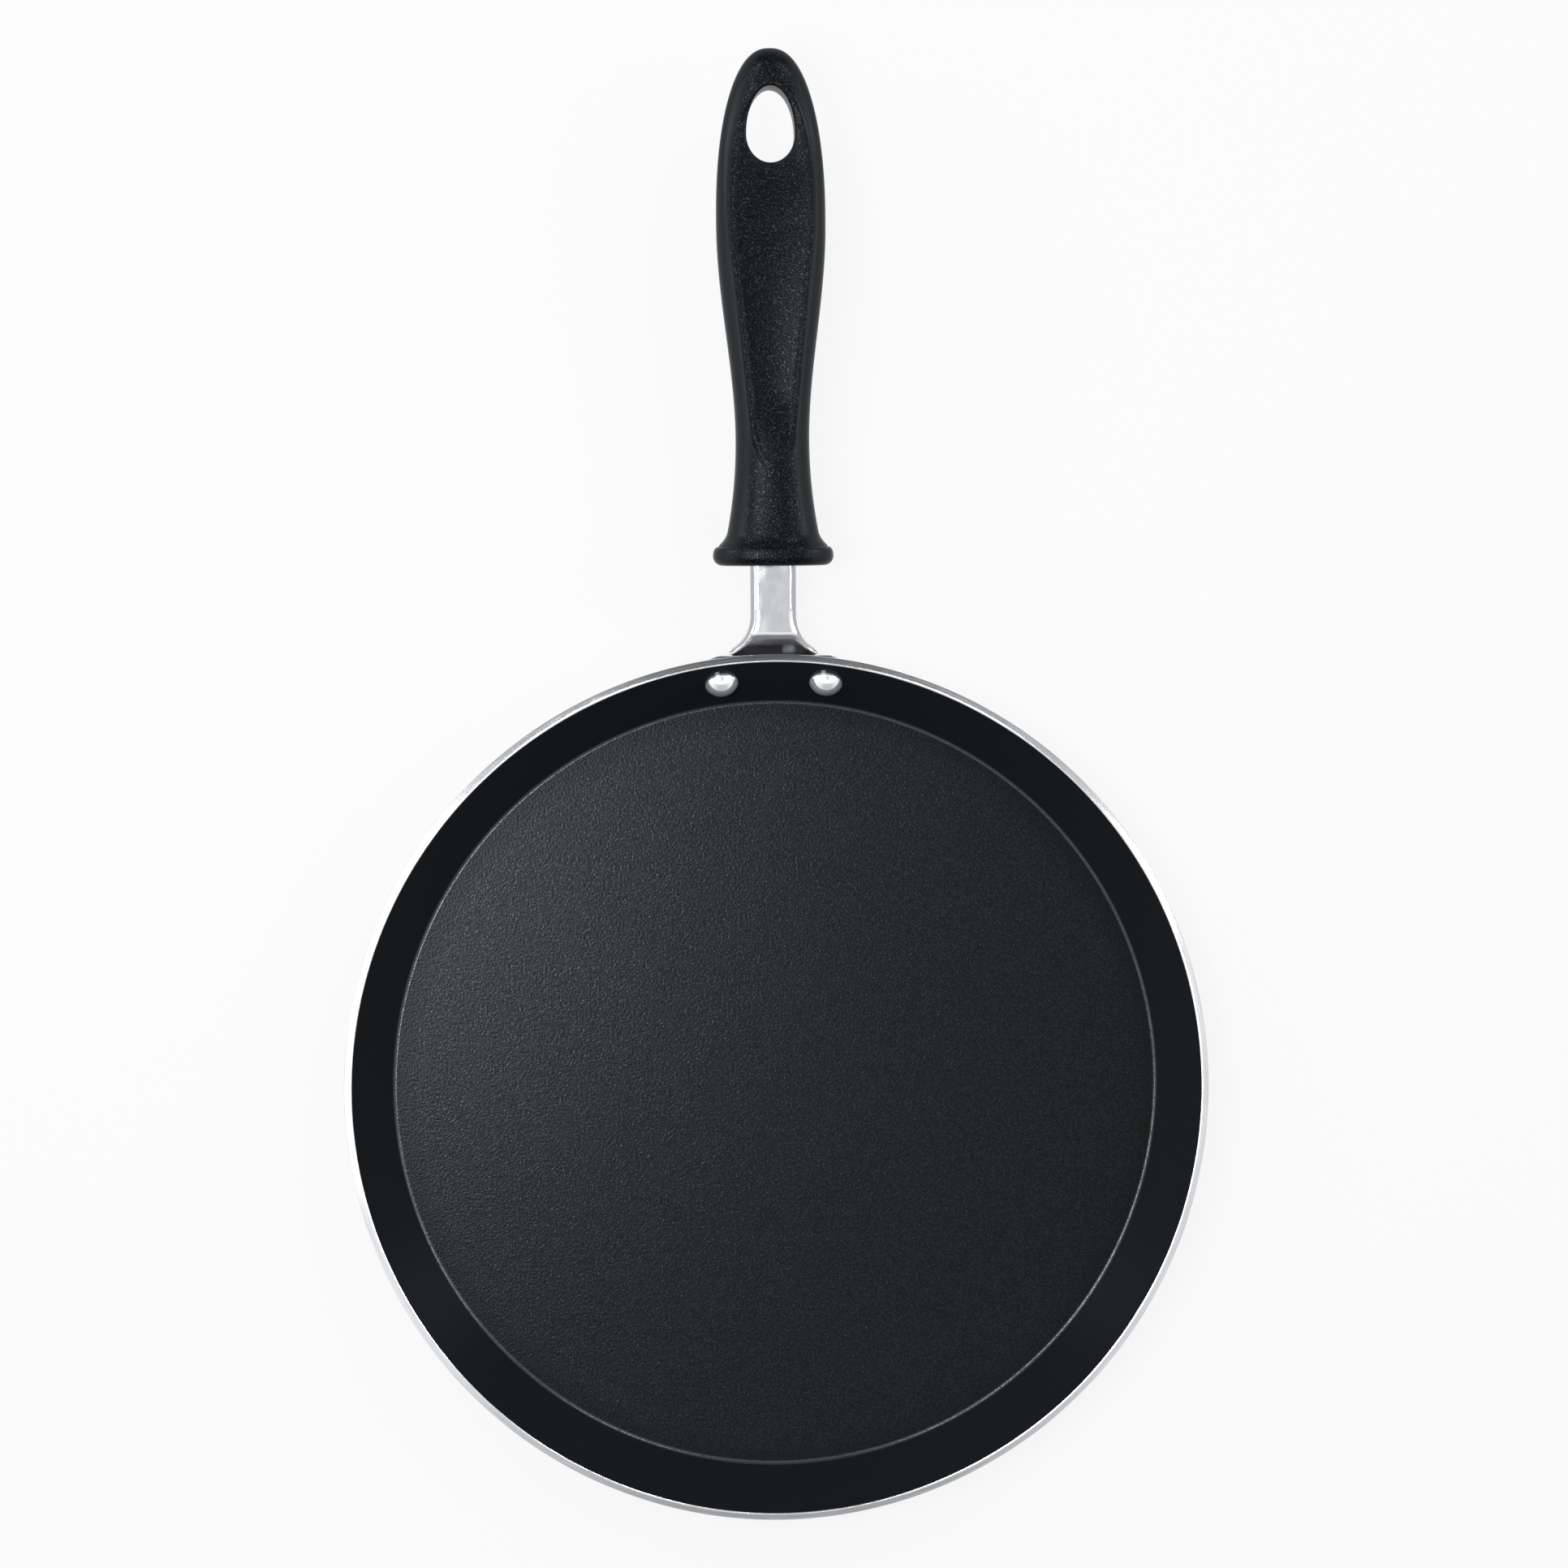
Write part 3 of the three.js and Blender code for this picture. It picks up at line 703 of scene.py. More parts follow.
def channel_points(marks, along):
    """Places of the marks at a way along the neck, one for each mark, in the neck's frame."""
    left = FLARE_RADIUS - np.clip(along, 0.0, FLARE_RADIUS)
    flare = FLARE_RADIUS - np.sqrt(FLARE_RADIUS ** 2 - left ** 2)
    drop = BEND_DROP * (1.0 - smoothstep(along, BEND_AT - BEND_RUN, BEND_AT + BEND_RUN))
    middle = NECK_WIDTH / 2.0 + FLARE_TOP_SHARE * flare - NECK_CORNER
    height = -drop - NECK_CORNER
    depth = np.maximum(NECK_DEPTH, drop + NECK_CORNER + 1.0)
    part = np.array([mark[0] for mark in marks])
    value = np.array([mark[1] for mark in marks])
    inset = np.array([mark[2] for mark in marks])
    side = np.array([mark[3] for mark in marks])
    radius = NECK_CORNER - inset
    foot = NECK_WIDTH / 2.0 + flare - inset
    across = np.select(
        [part == "side", part == "bend"],
        [foot + (middle + radius - foot) * value, middle + radius * np.cos(value)],
        middle * (1.0 - value))
    up = np.select(
        [part == "side", part == "bend"],
        [-depth + (height + depth) * value, height + radius * np.sin(value)],
        height + radius)
    return np.stack([across * side, along, up], axis=-1)


def channel_start(marks, offset):
    """How far along the neck each mark leaves a shell at an offset from the wall."""
    span = 16.0
    low = np.full(len(marks), -span)
    high = np.full(len(marks), span)
    for _ in range(40):
        middle = (low + high) / 2.0
        inside = off_wall(placed(neck_frame, channel_points(marks, middle))) < offset
        low = np.where(inside, middle, low)
        high = np.where(inside, high, middle)
    return high


marks = channel_marks()
start = channel_start(marks, FIT + BRACKET_SHEET / 2.0)
stations = np.linspace(0.0, 1.0, 150) ** 1.6
channel_end = NECK_LENGTH + CHANNEL_IN_GRIP
rings = [channel_points(marks, start + (channel_end - start) * share) for share in stations]
channel = tidy_shell(loft("channel", placed(neck_frame, rings)))
print("channel starts between %.1f and %.1f mm past the rim" % (start.min(), start.max()))

# %% [markdown]
# The tails of the rivets need room beside the flare, so a round pocket is carved there for each. The
# tang is a round-ended strip with a hole for the screw.

# %% Room for the rivet tails, and the tang
ROOM_RADIUS = 6.0
ROOM_DEPTH = 16.0


def rivet_frame(turn):
    spot = (rivet_radius * math.sin(turn), rivet_radius * math.cos(turn), rivet_height)
    return Matrix.Translation(spot) @ Euler((WALL_ANGLE - math.pi, 0.0, -turn)).to_matrix().to_4x4()


def strip_plan(half, start, end):
    """Outline of a strip with a round end, seen from above."""
    turns = np.linspace(0.0, math.pi, 25)
    rounded = [(half * math.cos(a), end + half * math.sin(a)) for a in turns]
    return [(-half, start), (half, start)] + rounded


pockets = []
for turn in (-rivet_turn, rivet_turn):
    room = placed(rivet_frame(turn), rod(ROOM_RADIUS, FIT + BRACKET_SHEET, ROOM_DEPTH))
    pockets.append(tidy_shell(loft("room", room)))
carve(channel, *pockets)

tang_end = NECK_LENGTH + TANG_IN_GRIP - TANG_WIDTH / 2.0
tang_plan = strip_plan(TANG_WIDTH / 2.0, NECK_LENGTH / 2.0, tang_end)
tang_rings = [[(x, y, height) for x, y in tang_plan] for height in (-BRACKET_SHEET, 0.0)]
tang = tidy_shell(loft("tang", placed(neck_frame, tang_rings)))
screw_hole = rod(SCREW_RADIUS + FIT, -2.0 * BRACKET_SHEET, BRACKET_SHEET)
hole = loft("hole", placed(neck_frame, screw_hole + (0.0, NECK_LENGTH + SCREW_AT, 0.0)))
carve(tang, tidy_shell(hole))
print("tang reaches %.1f mm into the grip" % TANG_IN_GRIP)

# %% [markdown]
# The ears are a round-ended plate, bent round the wall. Rings drawn inside its outline are dropped
# square on to a shell at a set distance from the wall, once for the near face and once for the far.

# %% The ears
EAR_HEIGHT = 13.6


def ear_rings(offset, shares):
    angle = np.linspace(-math.pi / 2.0, 1.5 * math.pi, 200, endpoint=False)
    right = angle < math.pi / 2.0
    core = np.where(right, RIVET_SPACING / 2.0, -RIVET_SPACING / 2.0)
    across = EAR_HEIGHT / 2.0 * np.cos(angle)
    up = EAR_HEIGHT / 2.0 * np.sin(angle)
    normal = np.array([0.0, WALL_SIN, -WALL_COS])
    upward = np.array([0.0, WALL_COS, WALL_SIN])
    middle_radius, middle_height = on_wall(RIVET_DOWN, 0.0)
    middle = np.array([0.0, middle_radius, middle_height])
    rings = []
    for share in shares:
        sideways = np.outer(core + across * share, (1.0, 0.0, 0.0))
        flat = middle + sideways + np.outer(up * share, upward)
        depth = np.full(len(angle), offset)
        for _ in range(20):
            depth = depth + offset - off_wall(flat + np.outer(depth, normal))
        rings.append(flat + np.outer(depth, normal))
    return rings


shares = np.linspace(0.0, 1.0, 8)
near = ear_rings(FIT, shares)
far = ear_rings(FIT + BRACKET_SHEET, shares[::-1])
ears = loft("ears", near + far)
tidy_shell(ears, merge=0.01)
print("ears with", len(ears.data.polygons), "faces")

# %% [markdown]
# ### Plated steel
# The bracket is polished and plated, so it mirrors the room. Polishing goes lengthwise and leaves
# long, very faint lines, and the sheet keeps a slight wave that bends the reflections. The bends and
# the flanks, which tilt away from straight up, get a darker colour: painted shade that dims their
# reflections. How far a point looks away from straight up is stored on the mesh for that.

# %% Finish of the bracket
def plated_steel():
    finish = Finish("bracket_plating")
    x, y, z = finish.axes()
    drawn = finish.noise(finish.vector(x, y * 0.04, z), 0.0005, detail=3.0, roughness=0.6)
    wave = finish.noise(finish.place, 0.009, detail=1.0)
    cloud = finish.noise(finish.place, 0.004, detail=3.0)
    painted_tilt_shade = finish.node("ShaderNodeAttribute", {"attribute_name": "flank"}, out="Fac")
    polished = finish.mix_colour(drawn * 0.5 + cloud * 0.5, grey(0.86, 0.015), grey(0.94, 0.015))
    # Painted shade: the bends and flanks are darker by how far they tilt from straight up.
    colour = finish.mix_colour(painted_tilt_shade, polished, grey(0.45, 0.015))
    return finish.surface({
        "Base Color": colour,
        "Metallic": 1.0,
        "Roughness": 0.08 + drawn * 0.06 + cloud * 0.06,
        "Normal": finish.bump(wave * 3.0 + drawn * 0.02, 0.00015),
    })


bracket_finish = plated_steel()

# %% Melt the parts of the bracket into one
def melt(name, parts, voxel, rounds):
    """One skin round parts that lie in each other, evened out over a few rounds."""
    points, faces = [], []
    for part in parts:
        first = len(points)
        points += [vertex.co / MM for vertex in part.data.vertices]
        faces += [tuple(first + corner for corner in face.vertices) for face in part.data.polygons]
        bpy.data.objects.remove(part)
    piece = piece_from(name, points, faces)
    skin = piece.modifiers.new("skin", "REMESH")
    skin.mode = "VOXEL"
    skin.voxel_size = voxel * MM
    even = piece.modifiers.new("even", "SMOOTH")
    even.factor = 0.5
    even.iterations = rounds
    return tidy_shell(settle(piece))


def mark_painted_flank_shade(piece):
    normals = np.empty(len(piece.data.vertices) * 3)
    piece.data.vertices.foreach_get("normal", normals)
    # The mask of the painted shade on the bends and flanks.
    store(piece, "flank", smoothstep(1.0 - normals[2::3], 0.01, 0.1))


bracket = melt("bracket", [channel, tang, ears], 0.27, 6)
mark_painted_flank_shade(bracket)
bracket.data.materials.append(bracket_finish)
stand_in(shade(bracket, 80.0), "bracket_plating", "handle_bracket")

# %% [markdown]
# ## Grip
# The grip is one moulding, and its section changes all the way along: a round guard at the front, a
# slim waist for the fingers, a swell for the palm, and a flat tail with an eye to hang it by. A loft
# suits that best. Each section is a full oval, and its half width and half height are functions of
# the way along the spine. On top lies a dished panel with a fine groove round it.

# %% Grip sizes
GRIP_LENGTH = 165.0
GRIP_BEND = math.radians(-1.0)
GRIP_BELOW_WEB = 1.5
GUARD_WIDTH = 39.0
GUARD_HEIGHT = 26.9
GUARD_LIP = 3.0
GUARD_EASE = 8.0
GUARD_FLARE = 5.3
GUARD_FLARE_HEIGHT = 3.0
WAIST_AT = 40.4
WAIST_WIDTH = 23.8
WAIST_HEIGHT = 18.6
SWELL_AT = 108.6
SWELL_WIDTH = 35.2
SWELL_HEIGHT = 19.8
EYE_AT = 137.5
EYE_WIDTH = 15.6
EYE_FRONT = 9.0
EYE_REAR = 14.9
EYE_HEIGHT = 13.0
TIP_RUN = 12.0
TAIL_AT = 111.7
TAIL_POWER = 2.1
TAIL_FULLNESS = 0.43
FULLNESS = 2.3
PANEL_FRONT = 31.4
PANEL_REAR = 154.0
PANEL_WIDTH = 27.8
PANEL_FRONT_WIDTH = 12.2
PANEL_FRONT_RUN = 11.0
PANEL_DEPTH = 1.2
grip_frame = neck_frame @ Matrix.Translation((0.0, NECK_LENGTH, -GRIP_BELOW_WEB))


def mixed(first, second, share):
    return first + (second - first) * share


# %% Half sizes along the spine
def body_half(along, flare, waist, swell):
    front = waist / 2.0 + flare * np.clip(1.0 - along / WAIST_AT, 0.0, 1.0) ** 2
    rear = mixed(waist, swell, smoothstep(along, WAIST_AT, SWELL_AT)) / 2.0
    return np.where(along < WAIST_AT, front, rear)


def with_guard(along, body, guard):
    bead = np.sqrt(np.maximum(0.0, GUARD_LIP ** 2 - (along - GUARD_LIP) ** 2))
    behind = np.maximum(0.0, along - 2.0 * GUARD_LIP)
    lip = guard / 2.0 - GUARD_LIP + bead - 2.0 * behind
    blend = np.maximum(0.0, 1.0 - np.abs(body - lip) / GUARD_EASE)
    onset = smoothstep(along, GUARD_LIP, GUARD_LIP + GUARD_EASE / 2.0)
    eased = np.maximum(body, lip) + onset * blend ** 2 * GUARD_EASE / 4.0
    return np.where(along <= GUARD_LIP, lip, eased)


def tail_share(along, end):
    past = np.clip((along - TAIL_AT) / (end - TAIL_AT), 0.0, 1.0)
    return (1.0 - past ** TAIL_POWER) ** TAIL_FULLNESS


def half_width(along):
    body = body_half(along, GUARD_FLARE, WAIST_WIDTH, SWELL_WIDTH) * tail_share(along, GRIP_LENGTH)
    return with_guard(along, body, GUARD_WIDTH)


def half_height(along):
    thinned = smoothstep(along, SWELL_AT, EYE_AT)
    past = np.clip((along - GRIP_LENGTH + TIP_RUN) / TIP_RUN, 0.0, 1.0)
    body = body_half(along, GUARD_FLARE_HEIGHT, WAIST_HEIGHT, SWELL_HEIGHT)
    body = mixed(body, EYE_HEIGHT / 2.0, thinned)
    return with_guard(along, body * np.sqrt(1.0 - past ** 2), GUARD_HEIGHT)


def panel_half(along):
    from_front = np.clip((along - PANEL_FRONT) / PANEL_FRONT_RUN, 0.0, 1.0)
    to_swell = np.clip((along - PANEL_FRONT) / (SWELL_AT - PANEL_FRONT), 0.0, 1.0)
    flank = mixed(PANEL_FRONT_WIDTH, PANEL_WIDTH, to_swell) / 2.0
    return flank * np.sqrt(1.0 - (1.0 - from_front) ** 2) * tail_share(along, PANEL_REAR)


print("grip: %.1f mm at the waist, %.1f mm at the swell" % (
    2.0 * half_width(np.array(WAIST_AT)), 2.0 * half_width(np.array(SWELL_AT))))

# %% [markdown]
# The top of the grip as a height above the spine is needed twice: for the sections, and for the
# cutter of the eye, whose edge has to follow the surface. Beside the groove the panel has a low
# rounded lip. Both follow the distance from the line round the panel, seen from above.

# %% Height of the top
GROOVE_DEPTH = 0.42
GROOVE_WIDTH = 0.42
LIP_HEIGHT = 0.28
LIP_WIDTH = 0.75
LIP_IN = 1.1
edge_along = np.concatenate([
    np.linspace(PANEL_FRONT, PANEL_FRONT + 1.5, 60),
    np.linspace(PANEL_FRONT + 1.5, PANEL_REAR - 4.0, 500),
    np.linspace(PANEL_REAR - 4.0, PANEL_REAR, 160)])
edge_aside = panel_half(edge_along)


def from_panel_edge(aside, along):
    """Distance from the line round the panel, positive inside it."""
    aside, along = np.broadcast_arrays(np.abs(aside), along)
    nearest = np.empty(aside.shape)
    for block in np.array_split(np.arange(aside.size), max(1, aside.size // 4000)):
        x = aside.ravel()[block, None] - edge_aside[None, :]
        y = along.ravel()[block, None] - edge_along[None, :]
        nearest.ravel()[block] = np.sqrt((x * x + y * y).min(axis=1))
    return np.where(aside < panel_half(along), nearest, -nearest)


def crown(aside, along):
    share = np.clip(np.abs(aside) / half_width(along), 0.0, 1.0)
    return half_height(along) * (1.0 - share ** FULLNESS) ** (1.0 / FULLNESS)


def top(aside, along):
    edge = np.maximum(panel_half(along), 0.001)
    sunk = smoothstep(along, PANEL_FRONT, PANEL_FRONT + 25.0)
    sunk = sunk * (1.0 - smoothstep(along, PANEL_REAR - 10.0, PANEL_REAR))
    bowl = crown(edge, along) - PANEL_DEPTH * sunk * (1.0 - np.clip(aside / edge, -1.0, 1.0) ** 2)
    plain = crown(aside, along)
    inside = np.abs(aside) < edge
    height = np.where(inside, mixed(plain, bowl, sunk), plain)
    way_in = from_panel_edge(aside, along)
    shown = smoothstep(along, PANEL_FRONT - 1.0, PANEL_FRONT + 9.0)
    shown = shown * (1.0 - smoothstep(along, PANEL_REAR - 8.0, PANEL_REAR - 1.0))
    groove = GROOVE_DEPTH * np.exp(-(way_in / GROOVE_WIDTH) ** 2)
    lip = LIP_HEIGHT * np.exp(-((way_in - LIP_IN) / LIP_WIDTH) ** 2)
    return height + shown * (lip - groove)


# %% The sections of the grip
def grip_place(aside, along, up):
    """World places of points given by their way aside, along the spine and up from it."""
    tip = np.array([math.cos(GRIP_BEND / 2.0), math.sin(GRIP_BEND / 2.0)]) * GRIP_LENGTH
    handles = [np.zeros(2), np.array([GRIP_LENGTH / 3.0, 0.0]),
               tip - np.array([math.cos(GRIP_BEND), math.sin(GRIP_BEND)]) * GRIP_LENGTH / 3.0, tip]
    share = (np.asarray(along, float) / GRIP_LENGTH)[..., None]
    rest = 1.0 - share
    weights = [rest ** 3, 3.0 * rest ** 2 * share, 3.0 * rest * share ** 2, share ** 3]
    spot = sum(weight * handle for weight, handle in zip(weights, handles))
    legs = [handles[1] - handles[0], handles[2] - handles[1], handles[3] - handles[2]]
    heading = rest ** 2 * legs[0] + 2.0 * rest * share * legs[1] + share ** 2 * legs[2]
    heading = heading / np.linalg.norm(heading, axis=-1, keepdims=True)
    y = spot[..., 0] - heading[..., 1] * up
    z = spot[..., 1] + heading[..., 0] * up
    return placed(grip_frame, np.stack(np.broadcast_arrays(aside, y, z), axis=-1))


def grip_ring(along):
    width, height = half_width(along), half_height(along)
    edge = max(panel_half(along), 0.02 * width)
    across_panel = edge * np.sin(np.linspace(math.pi / 2.0, -math.pi / 2.0, 57))
    edge_angle = math.acos((edge / width) ** (FULLNESS / 2.0))
    down_flank = edge_angle * (1.0 - np.linspace(0.0, 1.0, 38)[1:] ** 2)
    across_flank = width * np.cos(down_flank) ** (2.0 / FULLNESS)
    under = np.linspace(0.0, -math.pi, 75)[1:-1]
    across_under = width * np.sign(np.cos(under)) * np.abs(np.cos(under)) ** (2.0 / FULLNESS)
    up_under = -height * np.abs(np.sin(under)) ** (2.0 / FULLNESS)
    over = np.concatenate([across_panel, -across_flank])
    back_over = across_flank[::-1]
    aside = np.concatenate([over, -across_under, back_over])
    up = np.concatenate([top(over, along), up_under, top(back_over, along)])
    return grip_place(aside, np.full(len(aside), along), up)


guard_stations = GUARD_LIP * (1.0 - np.cos(np.linspace(0.0, math.pi, 33)[:-1]))
body_stations = np.linspace(2.0 * GUARD_LIP, GRIP_LENGTH - TIP_RUN, 190)[:-1]
front_stations = np.linspace(PANEL_FRONT - 1.5, PANEL_FRONT + 3.5, 20)
tip_stations = GRIP_LENGTH - TIP_RUN * (1.0 - np.sin(np.linspace(0.0, math.pi / 2.0, 47)[:-1]))
grip_stations = np.unique(np.concatenate([
    guard_stations, body_stations, front_stations, tip_stations]))
grip = tidy_shell(loft("grip", [grip_ring(along) for along in grip_stations]))
print("grip blank with", triangles(grip), "triangles")

# %% [markdown]
# The eye is an egg, blunt towards the dish. Its cutter is a spool: straight in the middle, and
# flaring where it leaves the top and the underside, so that the edge of the eye comes out rounded.

# %% The cutter of the eye
EYE_ROUNDING = 0.9


def eye_outline(out):
    angle = np.linspace(0.0, 2.0 * math.pi, 144, endpoint=False)
    length = np.where(np.sin(angle) > 0.0, EYE_REAR, EYE_FRONT)
    aside = EYE_WIDTH / 2.0 * np.cos(angle)
    along = length * np.sin(angle)
    square = np.stack([length * np.cos(angle), EYE_WIDTH / 2.0 * np.sin(angle)], axis=-1)
    square = square / np.linalg.norm(square, axis=-1, keepdims=True)
    return aside + out * square[:, 0], EYE_AT + along + out * square[:, 1]


def eye_rings():
    bend = np.linspace(0.0, math.radians(68.0), 9)
    outs = list(EYE_ROUNDING * (1.0 - np.cos(bend)))
    sinks = list(EYE_ROUNDING * (1.0 - np.sin(bend)))
    reach = 2.5
    outs.append(outs[-1] + reach * math.sin(bend[-1]))
    sinks.append(sinks[-1] - reach * math.cos(bend[-1]))
    brim_aside, brim_along = eye_outline(0.7 * EYE_ROUNDING)
    over = top(brim_aside, brim_along)
    under = -crown(brim_aside, brim_along)
    rings = []
    for out, sink in zip(outs[::-1], sinks[::-1]):
        aside, along = eye_outline(out)
        rings.append(grip_place(aside, along, under + sink))
    for out, sink in zip(outs, sinks):
        aside, along = eye_outline(out)
        rings.append(grip_place(aside, along, over - sink))
    return rings


eye_cutter = tidy_shell(loft("eye_cutter", eye_rings()))

# %% [markdown]
# At the front the grip has a socket for the channel and a slot for the tang, and from below a stepped
# hole for the screw. They are cut with the same sizes as the pieces that go in, plus a small gap.

# %% The cutters of socket, slot and screw hole
TANG_FLOOR = GRIP_BELOW_WEB - BRACKET_SHEET - FIT
SCREW_SEAT = TANG_FLOOR - 4.0
SCREW_PAST_WEB = 3.5
BORE_RADIUS = 5.0
BORE_DEPTH = 27.0


def socket_section():
    angle = np.linspace(0.0, math.pi / 2.0, 13)
    side = NECK_WIDTH / 2.0 + FIT
    middle = NECK_WIDTH / 2.0 - NECK_CORNER
    right = [(side, GRIP_BELOW_WEB - NECK_DEPTH - FIT)]
    right += [(middle + (NECK_CORNER + FIT) * math.cos(a),
               GRIP_BELOW_WEB - NECK_CORNER + (NECK_CORNER + FIT) * math.sin(a)) for a in angle]
    return right + [(-x, z) for x, z in right[::-1]]


socket = [[(x, y, z) for x, z in socket_section()] for y in (-GUARD_LIP, CHANNEL_IN_GRIP + FIT)]
slot_half = TANG_WIDTH / 2.0 + FIT
slot_end = TANG_IN_GRIP + FIT - slot_half
slot_plan = strip_plan(slot_half, 1.0, slot_end)
slot = [[(x, y, z) for x, y in slot_plan] for z in (TANG_FLOOR, GRIP_BELOW_WEB + FIT)]
at_screw = (0.0, SCREW_AT, 0.0)
screw_tip = GRIP_BELOW_WEB + SCREW_PAST_WEB
counterbore = rod(BORE_RADIUS, SCREW_SEAT - BORE_DEPTH, SCREW_SEAT, 96) + at_screw
screw_bore = rod(SCREW_RADIUS + FIT, SCREW_SEAT - FIT, screw_tip + FIT) + at_screw
hollows = {"socket": socket, "slot": slot, "counterbore": counterbore, "bore": screw_bore}
cutters = [eye_cutter]
for name, cut_rings in hollows.items():
    cutters.append(tidy_shell(loft(name, placed(grip_frame, cut_rings))))
carve(grip, *cutters)
print("grip with its holes:", triangles(grip), "triangles")

# %% [markdown]
# ### Phenolic
# The mould of the grip was spark-eroded on top, which leaves a fine sparkling grain, and plain on the
# flanks, which come out satin. Off the grain the colour is lighter, a painted sheen for the light
# that the flanks catch from the lamps at the sides. Where the grain shows is stored on the mesh as an
# attribute, worked out from the way aside as a share of the width, because that follows the shape of
# the grip.

# %% Where the grain lies
def mark_grain(piece):
    inverse = grip_frame.inverted()
    points = np.empty(len(piece.data.vertices) * 3)
    piece.data.vertices.foreach_get("co", points)
    local = placed(inverse, points.reshape(-1, 3) / MM)
    along = np.clip(local[:, 1], 0.0, GRIP_LENGTH)
    share = np.abs(local[:, 0]) / np.maximum(half_width(along), 1.0)
    panel = smoothstep(from_panel_edge(local[:, 0], along), -0.3, 0.3)
    middle = 1.0 - smoothstep(share, 0.5, 0.8)
    ends = np.maximum(1.0 - smoothstep(along, 30.0, 48.0), smoothstep(along, 125.0, 140.0))
    upper = smoothstep(local[:, 2], 1.0, 4.0)
    store(piece, "grain", np.maximum(panel, middle * ends) * upper)


mark_grain(grip)


# %% Finish of the grip
def grained_phenolic():
    finish = Finish("grip_phenolic")
    grain = finish.node("ShaderNodeAttribute", {"attribute_name": "grain"}, out="Fac")
    sparks = finish.noise(finish.place, 0.0007, detail=2.0, roughness=0.6)
    flake_seed = finish.noise(finish.place, 0.0006, detail=3.0, roughness=0.7)
    flake = finish.ease(flake_seed, 0.52, 0.72) * grain
    cloud = finish.noise(finish.place, 0.02, detail=3.0)
    base = finish.mix_colour(cloud, (0.0007, 0.0008, 0.0009, 1.0), (0.0012, 0.0013, 0.0014, 1.0))
    # Painted sheen: off the grain the colour is lighter, for the light the flanks catch from the side
    # lamps.
    painted_flank_sheen = finish.mix_colour(grain, (0.009, 0.0102, 0.011, 1.0), base)
    flecked = finish.mix_colour(flake, painted_flank_sheen, (0.033, 0.042, 0.048, 1.0))
    fine = finish.noise(finish.place, 0.0003, detail=2.0)
    return finish.surface({
        "Base Color": flecked,
        "Metallic": flake * 0.9,
        "Roughness": 0.27 + grain * 0.02 + cloud * 0.05,
        "Specular IOR Level": 0.06,
        "Normal": finish.bump(sparks * grain + fine * 0.1, 0.00014),
    })


grip_finish = grained_phenolic()
grip.data.materials.clear()
grip.data.materials.append(grip_finish)
stand_in(shade(grip, 32.0), "grip_phenolic", "handle_grip")

# %% [markdown]
# ## Screw and lock washer
# A screw from below holds the grip on the tang. Its thread is a helix, which a revolved section can
# carry: the radius of each ring goes up and down with the angle, one turn for each pitch. The
# washer under its head is a split ring whose ends stand a little apart.

# %% Finish of the screw
def zinc_steel():
    finish = Finish("screw_steel")
    cloud = finish.noise(finish.place, 0.0012, detail=4.0, roughness=0.7)
    tint = finish.noise(finish.place, 0.004, detail=1.0)
    colour = finish.mix_colour(tint, (0.47, 0.48, 0.5, 1.0), (0.6, 0.58, 0.54, 1.0))
    return finish.surface({
        "Base Color": colour,
        "Metallic": 1.0,
        "Roughness": 0.22 + cloud * 0.25,
        "Normal": finish.bump(cloud, 0.00002),
    })


steel_finish = zinc_steel()

# %% The screw
HEAD_RADIUS = 4.0
HEAD_THICKNESS = 2.4
HEAD_ROUNDING = 0.9
HEAD_CHAMFER = 0.15
POINT_RADIUS = 0.02
POINT_RUN = 1.2
WASHER_THICKNESS = 1.2
THREAD_PITCH = 0.8
THREAD_DEPTH = 0.42
washer_top = SCREW_SEAT - FIT
head_top = washer_top - WASHER_THICKNESS - FIT
head_foot = head_top - HEAD_THICKNESS


def screw_rings():
    turn = np.linspace(0.0, 2.0 * math.pi, 60, endpoint=False)
    rows = [(POINT_RADIUS, head_foot)]
    for bend in np.linspace(0.0, math.pi / 2.0, 9):
        rows.append((HEAD_RADIUS - HEAD_ROUNDING + HEAD_ROUNDING * math.sin(bend),
                     head_foot + HEAD_ROUNDING - HEAD_ROUNDING * math.cos(bend)))
    rows += [(HEAD_RADIUS, head_top - HEAD_CHAMFER), (HEAD_RADIUS - HEAD_CHAMFER, head_top),
             (SCREW_RADIUS, head_top)]
    rings = [circle(radius, height, turn) for radius, height in rows]
    for z in np.arange(head_top + 0.5, screw_tip - 0.05, THREAD_PITCH / 12.0):
        phase = np.mod(z / THREAD_PITCH - turn / (2.0 * math.pi), 1.0)
        ridge = np.clip((1.0 - 2.0 * np.abs(phase - 0.5)) * 1.3, 0.0, 1.0)
        fade = np.clip((screw_tip - z) / POINT_RUN, 0.0, 1.0)
        core = SCREW_RADIUS - THREAD_DEPTH - 0.5 * (1.0 - fade)
        rings.append(circle(core + THREAD_DEPTH * ridge * fade, z, turn))
    rings.append(circle(POINT_RADIUS, screw_tip, turn))
    return np.array(rings) + at_screw


def cross_recess():
    rings = []
    for wide, narrow, height in ((4.8, 1.05, -0.4), (2.4, 0.7, 1.3)):
        w, n = wide / 2.0, narrow / 2.0
        arm = [(w, -n), (w, n), (n, n)]
        plus = []
        for _ in range(4):
            plus += arm
            arm = [(-y, x) for x, y in arm]
        rings.append([(x, y + SCREW_AT, head_foot + height) for x, y in plus])
    return rings


screw = tidy_shell(loft("screw", placed(grip_frame, screw_rings())))
carve(screw, tidy_shell(loft("recess", placed(grip_frame, cross_recess()))))
screw.data.materials.clear()
screw.data.materials.append(steel_finish)
stand_in(shade(screw, 35.0), "screw_steel", "handle_screw")

